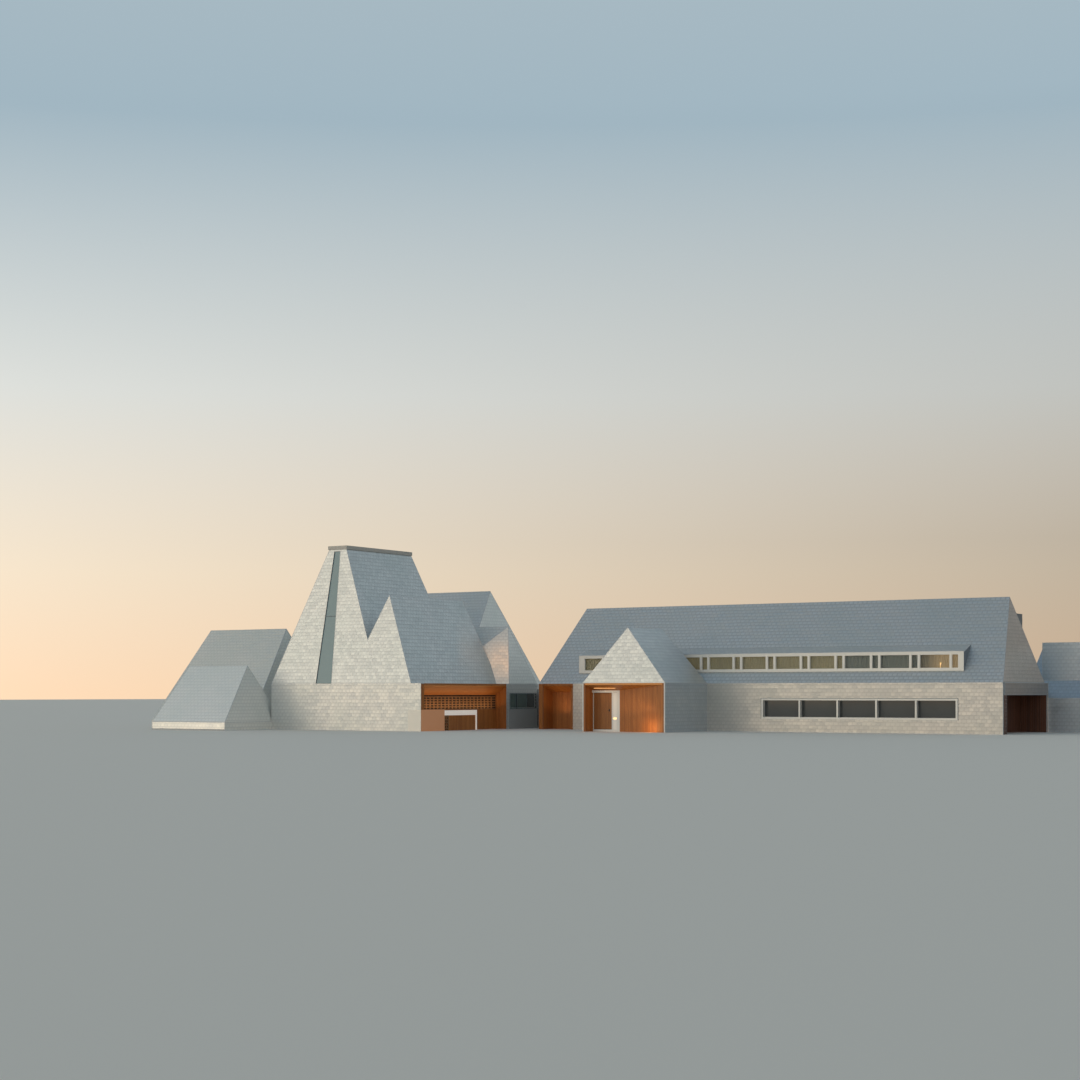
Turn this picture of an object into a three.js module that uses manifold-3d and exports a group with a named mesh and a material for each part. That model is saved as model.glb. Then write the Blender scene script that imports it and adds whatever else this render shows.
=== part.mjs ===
// Modern church of joined gabled houses in metal shingle, a 1:2 scale model.
// All sizes below are those of the real building in millimetres, +X along the long wing, +Y to its back.
// They are halved when the finished pieces are scaled. The source frame has its zero at the front corner
// of the wing's right end, and the finished part has it at the middle of its footprint.
import * as THREE from 'three';
import { mergeVertices } from 'three/addons/utils/BufferGeometryUtils.js';
import Module from 'manifold-3d';

const wasm = await Module();
wasm.setup();

const modelScale = 1 / 2;
const gap = 0.7;
const farAway = 300000;
const mergeWithin = 0.001;

// Storey heights and shell thicknesses
const eaveZ = 3280;
const wallThick = 350;
const shellThick = 300;
const floorThick = 150;
const upperFloorZ = 2980;
const upperFloorThick = 200;
const endLean = 0.165;
const glassThick = 40;
const glassInset = 120;

// Great gable house: the tall one with a cut-off top
const churchLeftX = -50100;
const churchRightX = -36800;
const churchFrontY = -11300;
const churchBackY = -460;
const greatRightX = -40500;
const greatTopLeftX = -46060;
const greatTopRightX = -44500;
const greatTopZ = 12830;
const capHeight = 260;
const capProud = 60;

// Side house, lower, on the right of the great gable
const sideLeftX = -43270;
const sideRightX = -37650;
const sideRidgeX = -40250;
const sideRidgeZ = 9390;

// Cross house behind both
const crossLeftX = -53149;
const crossRightX = -41000;
const crossBackY = 10540;
const crossRidgeY = 5040;
const crossRidgeZ = 10450;

// Bay at the right end of the cross house
const bayBackY = 3330;
const bayRidgeY = 480;
const bayRidgeZ = 7500;
const baySplay = 24;
const bayRoofPitch = 53;

// Link between the cross house and the wing
const linkFrontY = 3800;
const linkBackY = 7200;
const linkHeight = 2900;
const linkThick = 250;
const linkDoorWidth = 1400;
const linkDoorHeight = 2200;
const linkMiddleY = (linkFrontY + linkBackY) / 2;

// Long wing
const wingLeftX = -34500;
const wingRightX = 0;
const wingDepth = 8330;
const wingBaseBackY = 9100;
const wingRidgeY = 4165;
const wingRidgeZ = 8840;
const wingLeftLean = 0.28;
const wingRightLean = 0.176;
const ledgeThick = 280;
const ledgeFrontY = 8000;

// Windows of the wing
const dormerLeftX = -31400;
const dormerRightX = -2730;
const dormerFaceY = 500;
const dormerSillZ = 4030;
const dormerHeadZ = 5220;
const dormerTopY = 1820;
const dormerTopZ = 5710;
const backDormerLeftX = -31400;
const backDormerRightX = -860;
const backDormerFaceY = 6350;
const backDormerSillZ = 5930;
const backDormerHeadZ = 7500;
const backDormerTopY = 4900;
const backDormerTopZ = 7860;
const dormerShell = 180;
const roofHoleRightX = -1700;
const bayPitch = 2505;
const endBayPitch = 2715;
const endBayCount = 2;
const bayCount = 11;
const firstBayRightX = -3110;
const smallPane = 420;
const paneMullion = 155;
const paneSillZ = 4220;
const paneHeadZ = 5080;
const backPaneSillZ = 6180;
const backPaneHeadZ = 7240;
const lowWindowRightX = -3080;
const lowWindowPane = 2600;
const lowWindowPitch = 2720;
const lowWindowCount = 5;
const lowWindowSillZ = 1000;
const lowWindowHeadZ = 2130;
const frameBar = 110;

// Recesses lined with timber
const recessDepth = 950;
const loggiaInnerZ = 2480;
const loggiaOuterZ = 3150;
const liningThick = 150;
const endRecessDepth = 1800;
const endRecessHeadZ = 2480;
const endRecessFrontY = 700;
const cornerRecessRightX = -31600;
const cornerRecessDepth = 1300;
const cornerInnerZ = 2700;

// Entrance porch
const porchLeftX = -27150;
const porchRightX = -20800;
const porchFrontY = -6000;
const porchRidgeZ = 7000;
const porchWall = 200;
const porchInnerZ = 2800;
const porchRecess = 900;
const porchFrameRightX = -24760;
const porchFrameThick = 160;
const splayThick = 160;
const doorWidth = 1430;
const doorFootZ = 165;
const doorHeadZ = 2620;
const doorThick = 60;
const doorClear = 20;
const pinRadius = 10;
const pinInset = 15;
const jambWidth = 90;
const rightJambWidth = 240;
const passageWidth = 3600;
const passageHeadZ = 2500;

// Window in the bay's right wall
const bayPaneFrontY = -300;
const bayPaneBackY = 2950;
const bayPaneSillZ = 1540;
const bayPaneHeadZ = 2600;

// Slit window in the great gable
const slitTopZ = 12700;
const slitTopLeftX = -45570;
const slitTopRightX = -45030;
const slitFootLeftX = -46010;
const slitFootRightX = -44600;

// Two tent-like houses on the left and one on the far right, each with a flashing along its free feet
const flashingHeight = 80;
const flashingProud = 24;
const westBackHouse = {
  free: ['left'], leftX: -63100, rightX: crossLeftX - gap, ridgeY: -4700, halfSpan: 5300,
  eave: 560, ridge: 7500,
};
const westFrontSpan = 3120;
const westFrontHouse = {
  free: ['left', 'front'], leftX: -57000, rightX: churchLeftX - gap, halfSpan: westFrontSpan,
  eave: 560, ridge: 4550,
  ridgeY: westBackHouse.ridgeY - westBackHouse.halfSpan - westFrontSpan - gap,
};
const eastSpan = 2850;
const eastHouse = {
  free: ['right', 'back'], leftX: -1730, rightX: 6600, halfSpan: eastSpan, eave: 2260, ridge: 6050,
  ridgeY: wingBaseBackY + gap + eastSpan,
};
const eastDormerLeftX = -680;
const eastDormerRightX = 5550;
const eastDormerFaceY = 10000;
const eastDormerTopZ = 6000;

const shingle = new THREE.MeshStandardMaterial({ color: 0xc3c6c8, roughness: 0.42, metalness: 0.75 });
const timber = new THREE.MeshStandardMaterial({ color: 0xb5692f, roughness: 0.6, metalness: 0 });
const whiteFrame = new THREE.MeshStandardMaterial({ color: 0xd9d9d4, roughness: 0.5, metalness: 0.2 });
const glazing = new THREE.MeshStandardMaterial({ color: 0x5f6a68, roughness: 0.08, metalness: 0 });
const concrete = new THREE.MeshStandardMaterial({ color: 0x9b9a96, roughness: 0.9, metalness: 0 });

const model = new THREE.Group();

// Solids from three.js shapes
function solidFrom(geometry) {
  const bare = geometry.index ? geometry.clone() : mergeVertices(geometry);
  bare.deleteAttribute('normal');
  bare.deleteAttribute('uv');
  const merged = mergeVertices(bare, mergeWithin);
  const vertProperties = new Float32Array(merged.attributes.position.array);
  const triVerts = new Uint32Array(merged.index.array);
  return new wasm.Manifold(new wasm.Mesh({ numProp: 3, vertProperties, triVerts }));
}

function addPiece(name, solid, material) {
  const { vertProperties, triVerts } = solid.getMesh();
  const geometry = new THREE.BufferGeometry();
  geometry.setAttribute('position', new THREE.BufferAttribute(new Float32Array(vertProperties), 3));
  geometry.setIndex(new THREE.BufferAttribute(new Uint32Array(triVerts), 1));
  geometry.scale(modelScale, modelScale, modelScale);
  geometry.computeVertexNormals();
  const mesh = new THREE.Mesh(geometry, material);
  mesh.name = name;
  model.add(mesh);
}

function block(x0, x1, y0, y1, z0, z1) {
  const geometry = new THREE.BoxGeometry(x1 - x0, y1 - y0, z1 - z0);
  geometry.translate((x0 + x1) / 2, (y0 + y1) / 2, (z0 + z1) / 2);
  return solidFrom(geometry);
}

function outlineShape(outline) {
  return new THREE.Shape(outline.map(([across, up]) => new THREE.Vector2(across, up)));
}

// A prism over an outline in the X-Z plane, from y0 to y1
function prismAlongY(outline, y0, y1) {
  const geometry = new THREE.ExtrudeGeometry(outlineShape(outline), { depth: y1 - y0, bevelEnabled: false });
  geometry.rotateX(Math.PI / 2);
  geometry.translate(0, y1, 0);
  return solidFrom(geometry);
}

// A prism over an outline in the Y-Z plane, from x0 to x1
function prismAlongX(outline, x0, x1) {
  const geometry = new THREE.ExtrudeGeometry(outlineShape(outline), { depth: x1 - x0, bevelEnabled: false });
  geometry.rotateX(Math.PI / 2);
  geometry.rotateZ(Math.PI / 2);
  geometry.translate(x0, 0, 0);
  return solidFrom(geometry);
}

// A prism over an outline in plan, from z0 to z1
function prismUp(outline, z0, z1) {
  const geometry = new THREE.ExtrudeGeometry(outlineShape(outline), { depth: z1 - z0, bevelEnabled: false });
  geometry.translate(0, 0, z0);
  return solidFrom(geometry);
}

// Everything that lies outside a face's plane, moved out by shift
function beyond(face, shift) {
  const normal = new THREE.Vector3(...face.normal).normalize();
  const geometry = new THREE.BoxGeometry(farAway, farAway, farAway);
  geometry.translate(0, 0, farAway / 2);
  geometry.applyQuaternion(new THREE.Quaternion().setFromUnitVectors(new THREE.Vector3(0, 0, 1), normal));
  const start = new THREE.Vector3(...face.point).addScaledVector(normal, shift);
  geometry.translate(start.x, start.y, start.z);
  return solidFrom(geometry);
}

function hull(faces, shift, footZ) {
  const reach = farAway / 3;
  const start = block(-reach, reach, -reach, reach, footZ, footZ + reach / 2);
  return faces.reduce((solid, face) => solid.subtract(beyond(face, shift)), start);
}

// The gabled volumes, in order of which runs through where two of them meet
const volumes = [];

function addVolume(faces, footZ) {
  volumes.push({
    faces,
    outer: hull(faces, 0, footZ),
    grown: hull(faces, gap, footZ - gap),
    inner: hull(faces, -shellThick, footZ - gap),
  });
  return volumes.length - 1;
}

// What is left of a piece of one volume where the others run through it
function trimmed(solid, volumeIndex) {
  return volumes.reduce((result, other, index) => {
    if (index === volumeIndex) return result;
    return result.subtract(index < volumeIndex ? other.grown : other.inner);
  }, solid);
}

// One face of a volume as a slab, cut by the faces named before it and by the other volumes
function slab(volumeIndex, faceIndex) {
  const { faces, outer } = volumes[volumeIndex];
  let solid = outer.intersect(beyond(faces[faceIndex], -shellThick));
  faces.slice(0, faceIndex).forEach((face) => {
    solid = solid.subtract(beyond(face, -shellThick - gap));
  });
  return trimmed(solid, volumeIndex);
}

function addSlabs(volumeIndex, names, material) {
  names.forEach((name, faceIndex) => addPiece(name, slab(volumeIndex, faceIndex), material));
}

// Faces of a house: the two leaning ends, then the two slopes
function houseAlongY({ x0, x1, ridgeX0, ridgeX1, ridgeZ, y0, y1 }) {
  const rise = ridgeZ - eaveZ;
  return [
    { point: [x0, y0, eaveZ], normal: [0, -1, endLean] },
    { point: [x0, y1, eaveZ], normal: [0, 1, endLean] },
    { point: [x0, y0, eaveZ], normal: [-rise, 0, ridgeX0 - x0] },
    { point: [x1, y0, eaveZ], normal: [rise, 0, x1 - ridgeX1] },
  ];
}

function houseAlongX({ x0, x1, y0, y1, ridgeY, ridgeZ, eave, leanLeft, leanRight }) {
  const rise = ridgeZ - eave;
  return [
    { point: [x0, y0, eave], normal: [-1, 0, leanLeft] },
    { point: [x1, y0, eave], normal: [1, 0, leanRight] },
    { point: [x0, y0, eave], normal: [0, -rise, ridgeY - y0] },
    { point: [x0, y1, eave], normal: [0, rise, y1 - ridgeY] },
  ];
}

// The bay's front wall is splayed in plan, and its end, roof and back slope meet it at one peak
function bayFaces() {
  const corner = new THREE.Vector3(churchRightX, churchBackY, eaveZ);
  const rise = bayRidgeZ - eaveZ;
  const peak = new THREE.Vector3(churchRightX - endLean * rise, bayRidgeY, bayRidgeZ);
  const splay = THREE.MathUtils.degToRad(baySplay);
  const pitch = THREE.MathUtils.degToRad(bayRoofPitch);
  const alongWall = new THREE.Vector3(Math.cos(splay), Math.sin(splay), 0);
  const wallNormal = new THREE.Vector3().crossVectors(alongWall, peak.clone().sub(corner));
  return [
    { point: corner.toArray(), normal: [1, 0, endLean] },
    { point: corner.toArray(), normal: wallNormal.toArray() },
    { point: [0, bayBackY, eaveZ], normal: [0, rise, bayBackY - bayRidgeY] },
    { point: peak.toArray(), normal: [0, -Math.sin(pitch), Math.cos(pitch)] },
    { point: [crossRightX - endLean * rise - shellThick, 0, 0], normal: [-1, 0, 0] },
  ];
}

// A dormer's face, ends and roof, open to the ridge behind
function dormerFaces(leftX, rightX, faceY, topY, headZ, topZ) {
  const outward = Math.sign(faceY - topY);
  return [
    { point: [0, faceY, 0], normal: [0, outward, 0] },
    { point: [leftX, 0, 0], normal: [-1, 0, 0] },
    { point: [rightX, 0, 0], normal: [1, 0, 0] },
    { point: [0, faceY, headZ], normal: [0, outward * (topZ - headZ), Math.abs(faceY - topY)] },
    { point: [0, wingRidgeY, 0], normal: [0, -outward, 0] },
  ];
}

function smallHouseVolume({ leftX, rightX, ridgeY, halfSpan, eave, ridge }) {
  return addVolume(houseAlongX({
    x0: leftX, x1: rightX, y0: ridgeY - halfSpan, y1: ridgeY + halfSpan, ridgeY,
    ridgeZ: ridge, eave, leanLeft: endLean, leanRight: endLean,
  }), eave);
}

const greatFaces = houseAlongY({
  x0: churchLeftX, x1: greatRightX, ridgeX0: greatTopLeftX, ridgeX1: greatTopRightX,
  ridgeZ: greatTopZ, y0: churchFrontY, y1: churchBackY,
});
const porchMiddleX = (porchLeftX + porchRightX) / 2;
const great = addVolume([...greatFaces, { point: [0, 0, greatTopZ], normal: [0, 0, 1] }], eaveZ);
const side = addVolume(houseAlongY({
  x0: sideLeftX, x1: sideRightX, ridgeX0: sideRidgeX, ridgeX1: sideRidgeX,
  ridgeZ: sideRidgeZ, y0: churchFrontY, y1: churchBackY,
}), eaveZ);
const cross = addVolume(houseAlongX({
  x0: crossLeftX, x1: crossRightX, y0: churchBackY + gap, y1: crossBackY, ridgeY: crossRidgeY,
  ridgeZ: crossRidgeZ, eave: eaveZ, leanLeft: endLean, leanRight: endLean,
}), eaveZ);
const wing = addVolume(houseAlongX({
  x0: wingLeftX, x1: wingRightX, y0: 0, y1: wingDepth, ridgeY: wingRidgeY,
  ridgeZ: wingRidgeZ, eave: eaveZ, leanLeft: wingLeftLean, leanRight: wingRightLean,
}), eaveZ);
const bay = addVolume(bayFaces(), eaveZ);
const porchFaces = houseAlongY({
  x0: porchLeftX, x1: porchRightX, ridgeX0: porchMiddleX, ridgeX1: porchMiddleX,
  ridgeZ: porchRidgeZ, y0: porchFrontY, y1: -gap,
});
const porch = addVolume(porchFaces, eaveZ);
const smallHouses = [
  { name: 'west_back_house', size: westBackHouse },
  { name: 'west_front_house', size: westFrontHouse },
  { name: 'east_house', size: eastHouse, raised: eastDormer() },
].map((house) => ({ ...house, index: smallHouseVolume(house.size) }));

// A row of window openings, one narrow and one wide pane to a bay; the bays at the right end are longer
function paneRow(faceY, z0, z1) {
  const rows = [];
  let right = firstBayRightX;
  for (let index = 0; index < bayCount; index += 1) {
    const nextRight = right - (index < endBayCount ? endBayPitch : bayPitch);
    const wideRight = right - smallPane - paneMullion;
    rows.push(block(right - smallPane, right, faceY - wallThick, faceY + wallThick, z0, z1));
    rows.push(block(nextRight + paneMullion, wideRight, faceY - wallThick, faceY + wallThick, z0, z1));
    right = nextRight;
  }
  return rows;
}

function cutAll(solid, cutters) {
  return cutters.reduce((result, cutter) => result.subtract(cutter), solid);
}

function dormerParts(faces, sillZ, faceY, paneZ0, paneZ1) {
  const inside = hull(faces, -dormerShell, sillZ + dormerShell);
  const shell = hull(faces, 0, sillZ).subtract(inside).subtract(volumes[wing].grown);
  return { inside, shell: cutAll(shell, paneRow(faceY, paneZ0, paneZ1)) };
}

// Great house with its slit window and cap
function slitOutline(clearance) {
  return [
    [slitFootLeftX + clearance, eaveZ + clearance],
    [slitFootRightX - clearance, eaveZ + clearance],
    [slitTopRightX - clearance, slitTopZ - clearance],
    [slitTopLeftX + clearance, slitTopZ - clearance],
  ];
}

function greatHouse() {
  const slitReach = 4000;
  const slit = prismAlongY(slitOutline(0), churchFrontY - slitReach, churchFrontY + slitReach);
  const slitFill = prismAlongY(slitOutline(gap), churchFrontY - slitReach, churchFrontY + slitReach);
  addPiece('great_gable_front', slab(great, 0).subtract(slit), shingle);
  addPiece('great_gable_back', slab(great, 1), shingle);
  addPiece('great_left_roof', slab(great, 2), shingle);
  addPiece('great_right_roof', slab(great, 3), shingle);
  const topSlab = slab(great, 4);
  const leanAtTop = endLean * (greatTopZ - eaveZ);
  const cap = block(
    greatTopLeftX - capProud, greatTopRightX + capProud,
    churchFrontY + leanAtTop - capProud, churchBackY - leanAtTop + capProud,
    greatTopZ + gap, greatTopZ + gap + capHeight,
  );
  const capSeat = block(
    greatTopLeftX + 2 * shellThick, greatTopRightX - 2 * shellThick,
    churchFrontY + leanAtTop + 2 * shellThick, churchBackY - leanAtTop - 2 * shellThick,
    greatTopZ - shellThick / 2, greatTopZ + 2 * gap,
  );
  addPiece('great_cap', topSlab.add(capSeat).add(cap), shingle);
  const frontFace = volumes[great].faces[0];
  const pane = slitFill.intersect(beyond(frontFace, -glassInset - glassThick))
    .subtract(beyond(frontFace, -glassInset));
  addPiece('great_slit_glass', pane, glazing);
}

function churchBase() {
  const innerX = churchRightX - recessDepth;
  const backWallX = innerX - liningThick;
  const y0 = churchFrontY + wallThick + gap;
  const y1 = churchBackY - wallThick - gap;
  const top = eaveZ - gap;
  addPiece('church_front_wall',
    block(churchLeftX, churchRightX, churchFrontY, churchFrontY + wallThick, 0, top), shingle);
  addPiece('church_left_wall',
    block(churchLeftX, churchLeftX + wallThick, y0, churchBackY, 0, top), shingle);
  const soffit = [
    [backWallX - wallThick, loggiaInnerZ], [innerX, loggiaInnerZ], [churchRightX, loggiaOuterZ],
    [churchRightX, top], [backWallX - wallThick, top],
  ];
  addPiece('loggia_soffit', prismAlongY(soffit, y0, y1), timber);
  addPiece('loggia_back_wall', block(backWallX, innerX, y0, y1, 0, loggiaInnerZ - gap), timber);
  addPiece('loggia_end_wall',
    block(backWallX, churchRightX, churchBackY - wallThick, churchBackY, 0, top), shingle);
}

// A wall that the link's doorway goes through, as seen along X
function linkDoorOutline(y0, y1, top) {
  const doorFront = linkMiddleY - linkDoorWidth / 2;
  const doorBack = linkMiddleY + linkDoorWidth / 2;
  return [
    [y0, 0], [doorFront, 0], [doorFront, linkDoorHeight], [doorBack, linkDoorHeight],
    [doorBack, 0], [y1, 0], [y1, top], [y0, top],
  ];
}

function crossBase() {
  const top = eaveZ - gap;
  const frontY = churchBackY + gap;
  const left = crossLeftX + wallThick + gap;
  const leftWall = block(crossLeftX, crossLeftX + wallThick, frontY, crossBackY, 0, top);
  const frontWall = block(crossLeftX + gap, churchLeftX + wallThick, frontY, frontY + wallThick, 0, top);
  addPiece('cross_left_wall', leftWall.add(frontWall), shingle);
  addPiece('cross_back_wall', block(left, crossRightX, crossBackY - wallThick, crossBackY, 0, top), shingle);
  const rightOutline = linkDoorOutline(bayBackY - wallThick, crossBackY - wallThick - gap, top);
  addPiece('cross_right_wall', prismAlongX(rightOutline, crossRightX - wallThick, crossRightX), shingle);
  const innerX = churchRightX - wallThick;
  const bayRight = block(innerX, churchRightX, frontY, bayBackY, 0, top);
  const bayBack = block(crossRightX + gap, churchRightX, bayBackY - wallThick, bayBackY, 0, top);
  const bayOpening = block(
    innerX - wallThick, churchRightX + wallThick, bayPaneFrontY, bayPaneBackY, bayPaneSillZ, bayPaneHeadZ);
  addPiece('bay_walls', bayRight.add(bayBack).subtract(bayOpening), shingle);
  addPiece('bay_glass', block(
    innerX + glassInset, innerX + glassInset + glassThick,
    bayPaneFrontY + gap, bayPaneBackY - gap, bayPaneSillZ + gap, bayPaneHeadZ - gap), glazing);
}

function link() {
  const outline = [
    [linkFrontY, 0], [linkFrontY + linkThick, 0],
    [linkFrontY + linkThick, linkHeight - linkThick], [linkBackY - linkThick, linkHeight - linkThick],
    [linkBackY - linkThick, 0], [linkBackY, 0], [linkBackY, linkHeight], [linkFrontY, linkHeight],
  ];
  addPiece('link_passage', prismAlongX(outline, crossRightX + gap, wingLeftX - gap), shingle);
}

// A row of low windows in one long wall
function lowWindowRow(faceY) {
  const openings = [];
  for (let index = 0; index < lowWindowCount; index += 1) {
    const right = lowWindowRightX - index * lowWindowPitch;
    openings.push(block(
      right - lowWindowPane, right, faceY - 2 * wallThick, faceY + 2 * wallThick,
      lowWindowSillZ, lowWindowHeadZ));
  }
  return openings;
}

function wingBase() {
  const top = eaveZ - gap;
  const left = wingLeftX + wallThick + gap;
  const backInnerY = wingBaseBackY - wallThick;
  const passage = block(
    porchMiddleX - passageWidth / 2, porchMiddleX + passageWidth / 2,
    -wallThick, 2 * wallThick, 0, passageHeadZ);
  const frontWall = block(cornerRecessRightX, wingRightX, 0, wallThick, 0, top);
  addPiece('wing_front_wall', cutAll(frontWall, [passage, ...lowWindowRow(0)]), shingle);
  const backOutline = [
    [backInnerY, 0], [wingBaseBackY, 0], [wingBaseBackY, top], [ledgeFrontY, top],
    [ledgeFrontY, top - ledgeThick], [backInnerY, top - ledgeThick],
  ];
  const backWall = prismAlongX(backOutline, left, wingRightX - wallThick - gap);
  addPiece('wing_back_wall', cutAll(backWall, lowWindowRow(wingBaseBackY)), shingle);
  const leftOutline = linkDoorOutline(0, wingBaseBackY, top);
  addPiece('wing_left_wall', prismAlongX(leftOutline, wingLeftX, wingLeftX + wallThick), shingle);
  const portal = [
    [wallThick + gap, 0], [endRecessFrontY, 0], [endRecessFrontY, endRecessHeadZ],
    [backInnerY, endRecessHeadZ], [backInnerY, 0], [wingBaseBackY, 0],
    [wingBaseBackY, top], [wallThick + gap, top],
  ];
  addPiece('wing_end_frame', prismAlongX(portal, wingRightX - wallThick, wingRightX), shingle);
  const innerX = wingRightX - endRecessDepth;
  const lining = [
    [innerX - liningThick, 0], [innerX, 0], [innerX, endRecessHeadZ],
    [wingRightX - wallThick - gap, endRecessHeadZ],
    [wingRightX - wallThick - gap, endRecessHeadZ + liningThick],
    [innerX - liningThick, endRecessHeadZ + liningThick],
  ];
  addPiece('wing_end_lining', prismAlongY(lining, wallThick + gap, backInnerY - gap), timber);
  const cornerX = cornerRecessRightX - gap;
  const cornerWall = [
    [left, cornerRecessDepth], [cornerX - liningThick, cornerRecessDepth], [cornerX - liningThick, 0],
    [cornerX, 0], [cornerX, cornerRecessDepth + liningThick], [left, cornerRecessDepth + liningThick],
  ];
  const cornerSoffit = [
    [0, loggiaOuterZ], [cornerRecessDepth, cornerInnerZ], [cornerRecessDepth + liningThick, cornerInnerZ],
    [cornerRecessDepth + liningThick, top - ledgeThick], [cornerRecessDepth, top], [0, top],
  ];
  addPiece('wing_corner_lining',
    prismUp(cornerWall, 0, top - ledgeThick).add(prismAlongX(cornerSoffit, left, cornerX)), timber);
}

// The door turns on one pin through its hinge edge, seated in the sill and the head
function pivotPin(x, y, z0, z1) {
  const geometry = new THREE.CylinderGeometry(pinRadius, pinRadius, z1 - z0, 12);
  geometry.rotateX(Math.PI / 2);
  geometry.translate(x, y, (z0 + z1) / 2);
  return solidFrom(geometry);
}

function porchBase() {
  const top = eaveZ - gap;
  const innerLeft = porchLeftX + porchWall;
  const innerRight = porchRightX - porchWall;
  const recessY = porchFrontY + porchRecess;
  const soffitBackY = recessY + porchFrameThick;
  addPiece('porch_left_wall', block(porchLeftX, innerLeft, porchFrontY, -gap, 0, top), shingle);
  addPiece('porch_right_wall', block(innerRight, porchRightX, porchFrontY, -gap, 0, top), shingle);
  const soffitOutline = [
    [porchFrontY, loggiaOuterZ], [recessY, porchInnerZ], [soffitBackY, porchInnerZ],
    [soffitBackY, top], [porchFrontY, top],
  ];
  const soffit = prismAlongX(soffitOutline, innerLeft + gap, innerRight - gap);
  const splay = [
    [porchFrameRightX + gap, recessY], [innerRight - gap, porchFrontY],
    [innerRight - gap, porchFrontY + splayThick], [porchFrameRightX + gap, recessY + splayThick],
  ];
  addPiece('porch_lining', soffit.add(prismUp(splay, 0, eaveZ - wallThick)), timber);
  const doorLeft = innerLeft + jambWidth;
  const doorRight = doorLeft + doorWidth + 2 * doorClear;
  const sideRight = porchFrameRightX - rightJambWidth;
  const frame = block(
    innerLeft + gap, porchFrameRightX, recessY, recessY + porchFrameThick, 0, porchInnerZ - gap);
  const doorHole = block(doorLeft, doorRight, recessY - wallThick, recessY + wallThick,
    doorFootZ - doorClear, doorHeadZ + doorClear);
  const sideHole = block(doorRight + jambWidth, sideRight, recessY - wallThick, recessY + wallThick,
    doorFootZ - doorClear, doorHeadZ + doorClear);
  addPiece('porch_door_frame', frame.subtract(doorHole).subtract(sideHole), whiteFrame);
  addPiece('porch_side_glass', block(
    doorRight + jambWidth + gap, sideRight - gap, recessY + glassThick, recessY + 2 * glassThick,
    doorFootZ - doorClear + gap, doorHeadZ + doorClear - gap), glazing);
  const leaf = block(
    doorLeft + doorClear, doorRight - doorClear, recessY + porchFrameThick - doorThick,
    recessY + porchFrameThick, doorFootZ, doorHeadZ);
  const pin = pivotPin(
    doorLeft + doorClear + pinInset, recessY + porchFrameThick - pinInset,
    doorFootZ - doorClear + gap, doorHeadZ + doorClear - gap);
  addPiece('porch_door', leaf.add(pin), timber);
}

function floors() {
  const churchInnerX = churchRightX - recessDepth - liningThick - gap;
  const inset = wallThick + gap;
  const churchFloor = block(
    churchLeftX + inset, churchInnerX, churchFrontY + inset, churchBackY - inset, 0, floorThick);
  const joint = block(
    churchLeftX + inset, churchInnerX, churchBackY - 2 * inset, crossRidgeY, 0, floorThick);
  const crossFloor = block(
    crossLeftX + inset, crossRightX - inset, churchBackY + inset + gap, crossBackY - inset, 0, floorThick);
  const bayFloor = block(
    crossRightX - 2 * inset, churchRightX - inset, churchBackY + gap, bayBackY - inset, 0, floorThick);
  const narrowJoint = joint.intersect(block(
    churchLeftX + inset, churchInnerX, churchFrontY, bayBackY - inset, 0, floorThick));
  addPiece('church_floor', churchFloor.add(narrowJoint).add(crossFloor).add(bayFloor), concrete);
  const wingFloor = block(
    wingLeftX + inset, wingRightX - endRecessDepth - liningThick - gap,
    cornerRecessDepth + liningThick + gap, wingBaseBackY - inset, 0, floorThick);
  const wingFrontFloor = block(
    cornerRecessRightX + gap, wingRightX - endRecessDepth - liningThick - gap,
    inset, 2 * cornerRecessDepth, 0, floorThick);
  const passageFloor = block(
    porchMiddleX - passageWidth / 2 + gap, porchMiddleX + passageWidth / 2 - gap, -wallThick, 2 * wallThick,
    0, floorThick);
  const vestibule = block(
    porchLeftX + porchWall + gap, porchRightX - porchWall - gap,
    porchFrontY + porchRecess + porchFrameThick + 2 * gap, -gap, 0, floorThick);
  addPiece('wing_floor', wingFloor.add(wingFrontFloor).add(passageFloor).add(vestibule), concrete);
  addPiece('wing_upper_floor', block(
    wingLeftX + inset, wingRightX - inset, cornerRecessDepth + liningThick + gap, ledgeFrontY - gap,
    upperFloorZ, upperFloorZ + upperFloorThick), concrete);
}

function wingRoofs() {
  const front = dormerParts(
    dormerFaces(dormerLeftX, dormerRightX, dormerFaceY, dormerTopY, dormerHeadZ, dormerTopZ),
    dormerSillZ, dormerFaceY, paneSillZ, paneHeadZ);
  const back = dormerParts(
    dormerFaces(backDormerLeftX, backDormerRightX, backDormerFaceY, backDormerTopY, backDormerHeadZ,
      backDormerTopZ),
    backDormerSillZ, backDormerFaceY, backPaneSillZ, backPaneHeadZ);
  addPiece('wing_left_gable', slab(wing, 0), shingle);
  addPiece('wing_right_gable', slab(wing, 1), shingle);
  addPiece('wing_front_roof', slab(wing, 2).subtract(front.inside), shingle);
  const roofEnd = beyond({ point: [roofHoleRightX, 0, 0], normal: [1, 0, 0] }, 0);
  addPiece('wing_back_roof', slab(wing, 3).subtract(back.inside.subtract(roofEnd)), shingle);
  addPiece('front_dormer', front.shell, whiteFrame);
  addPiece('front_dormer_glass', block(
    dormerLeftX + dormerShell + gap, dormerRightX - dormerShell - gap,
    dormerFaceY + dormerShell + gap, dormerFaceY + dormerShell + gap + glassThick,
    dormerSillZ + dormerShell + gap, paneHeadZ + gap), glazing);
  addPiece('back_dormer', back.shell, whiteFrame);
  addPiece('back_dormer_glass', block(
    backDormerLeftX + dormerShell + gap, roofHoleRightX - gap,
    backDormerFaceY - dormerShell - gap - glassThick, backDormerFaceY - dormerShell - gap,
    backDormerSillZ + dormerShell + gap, backPaneHeadZ + gap), glazing);
}

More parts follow.
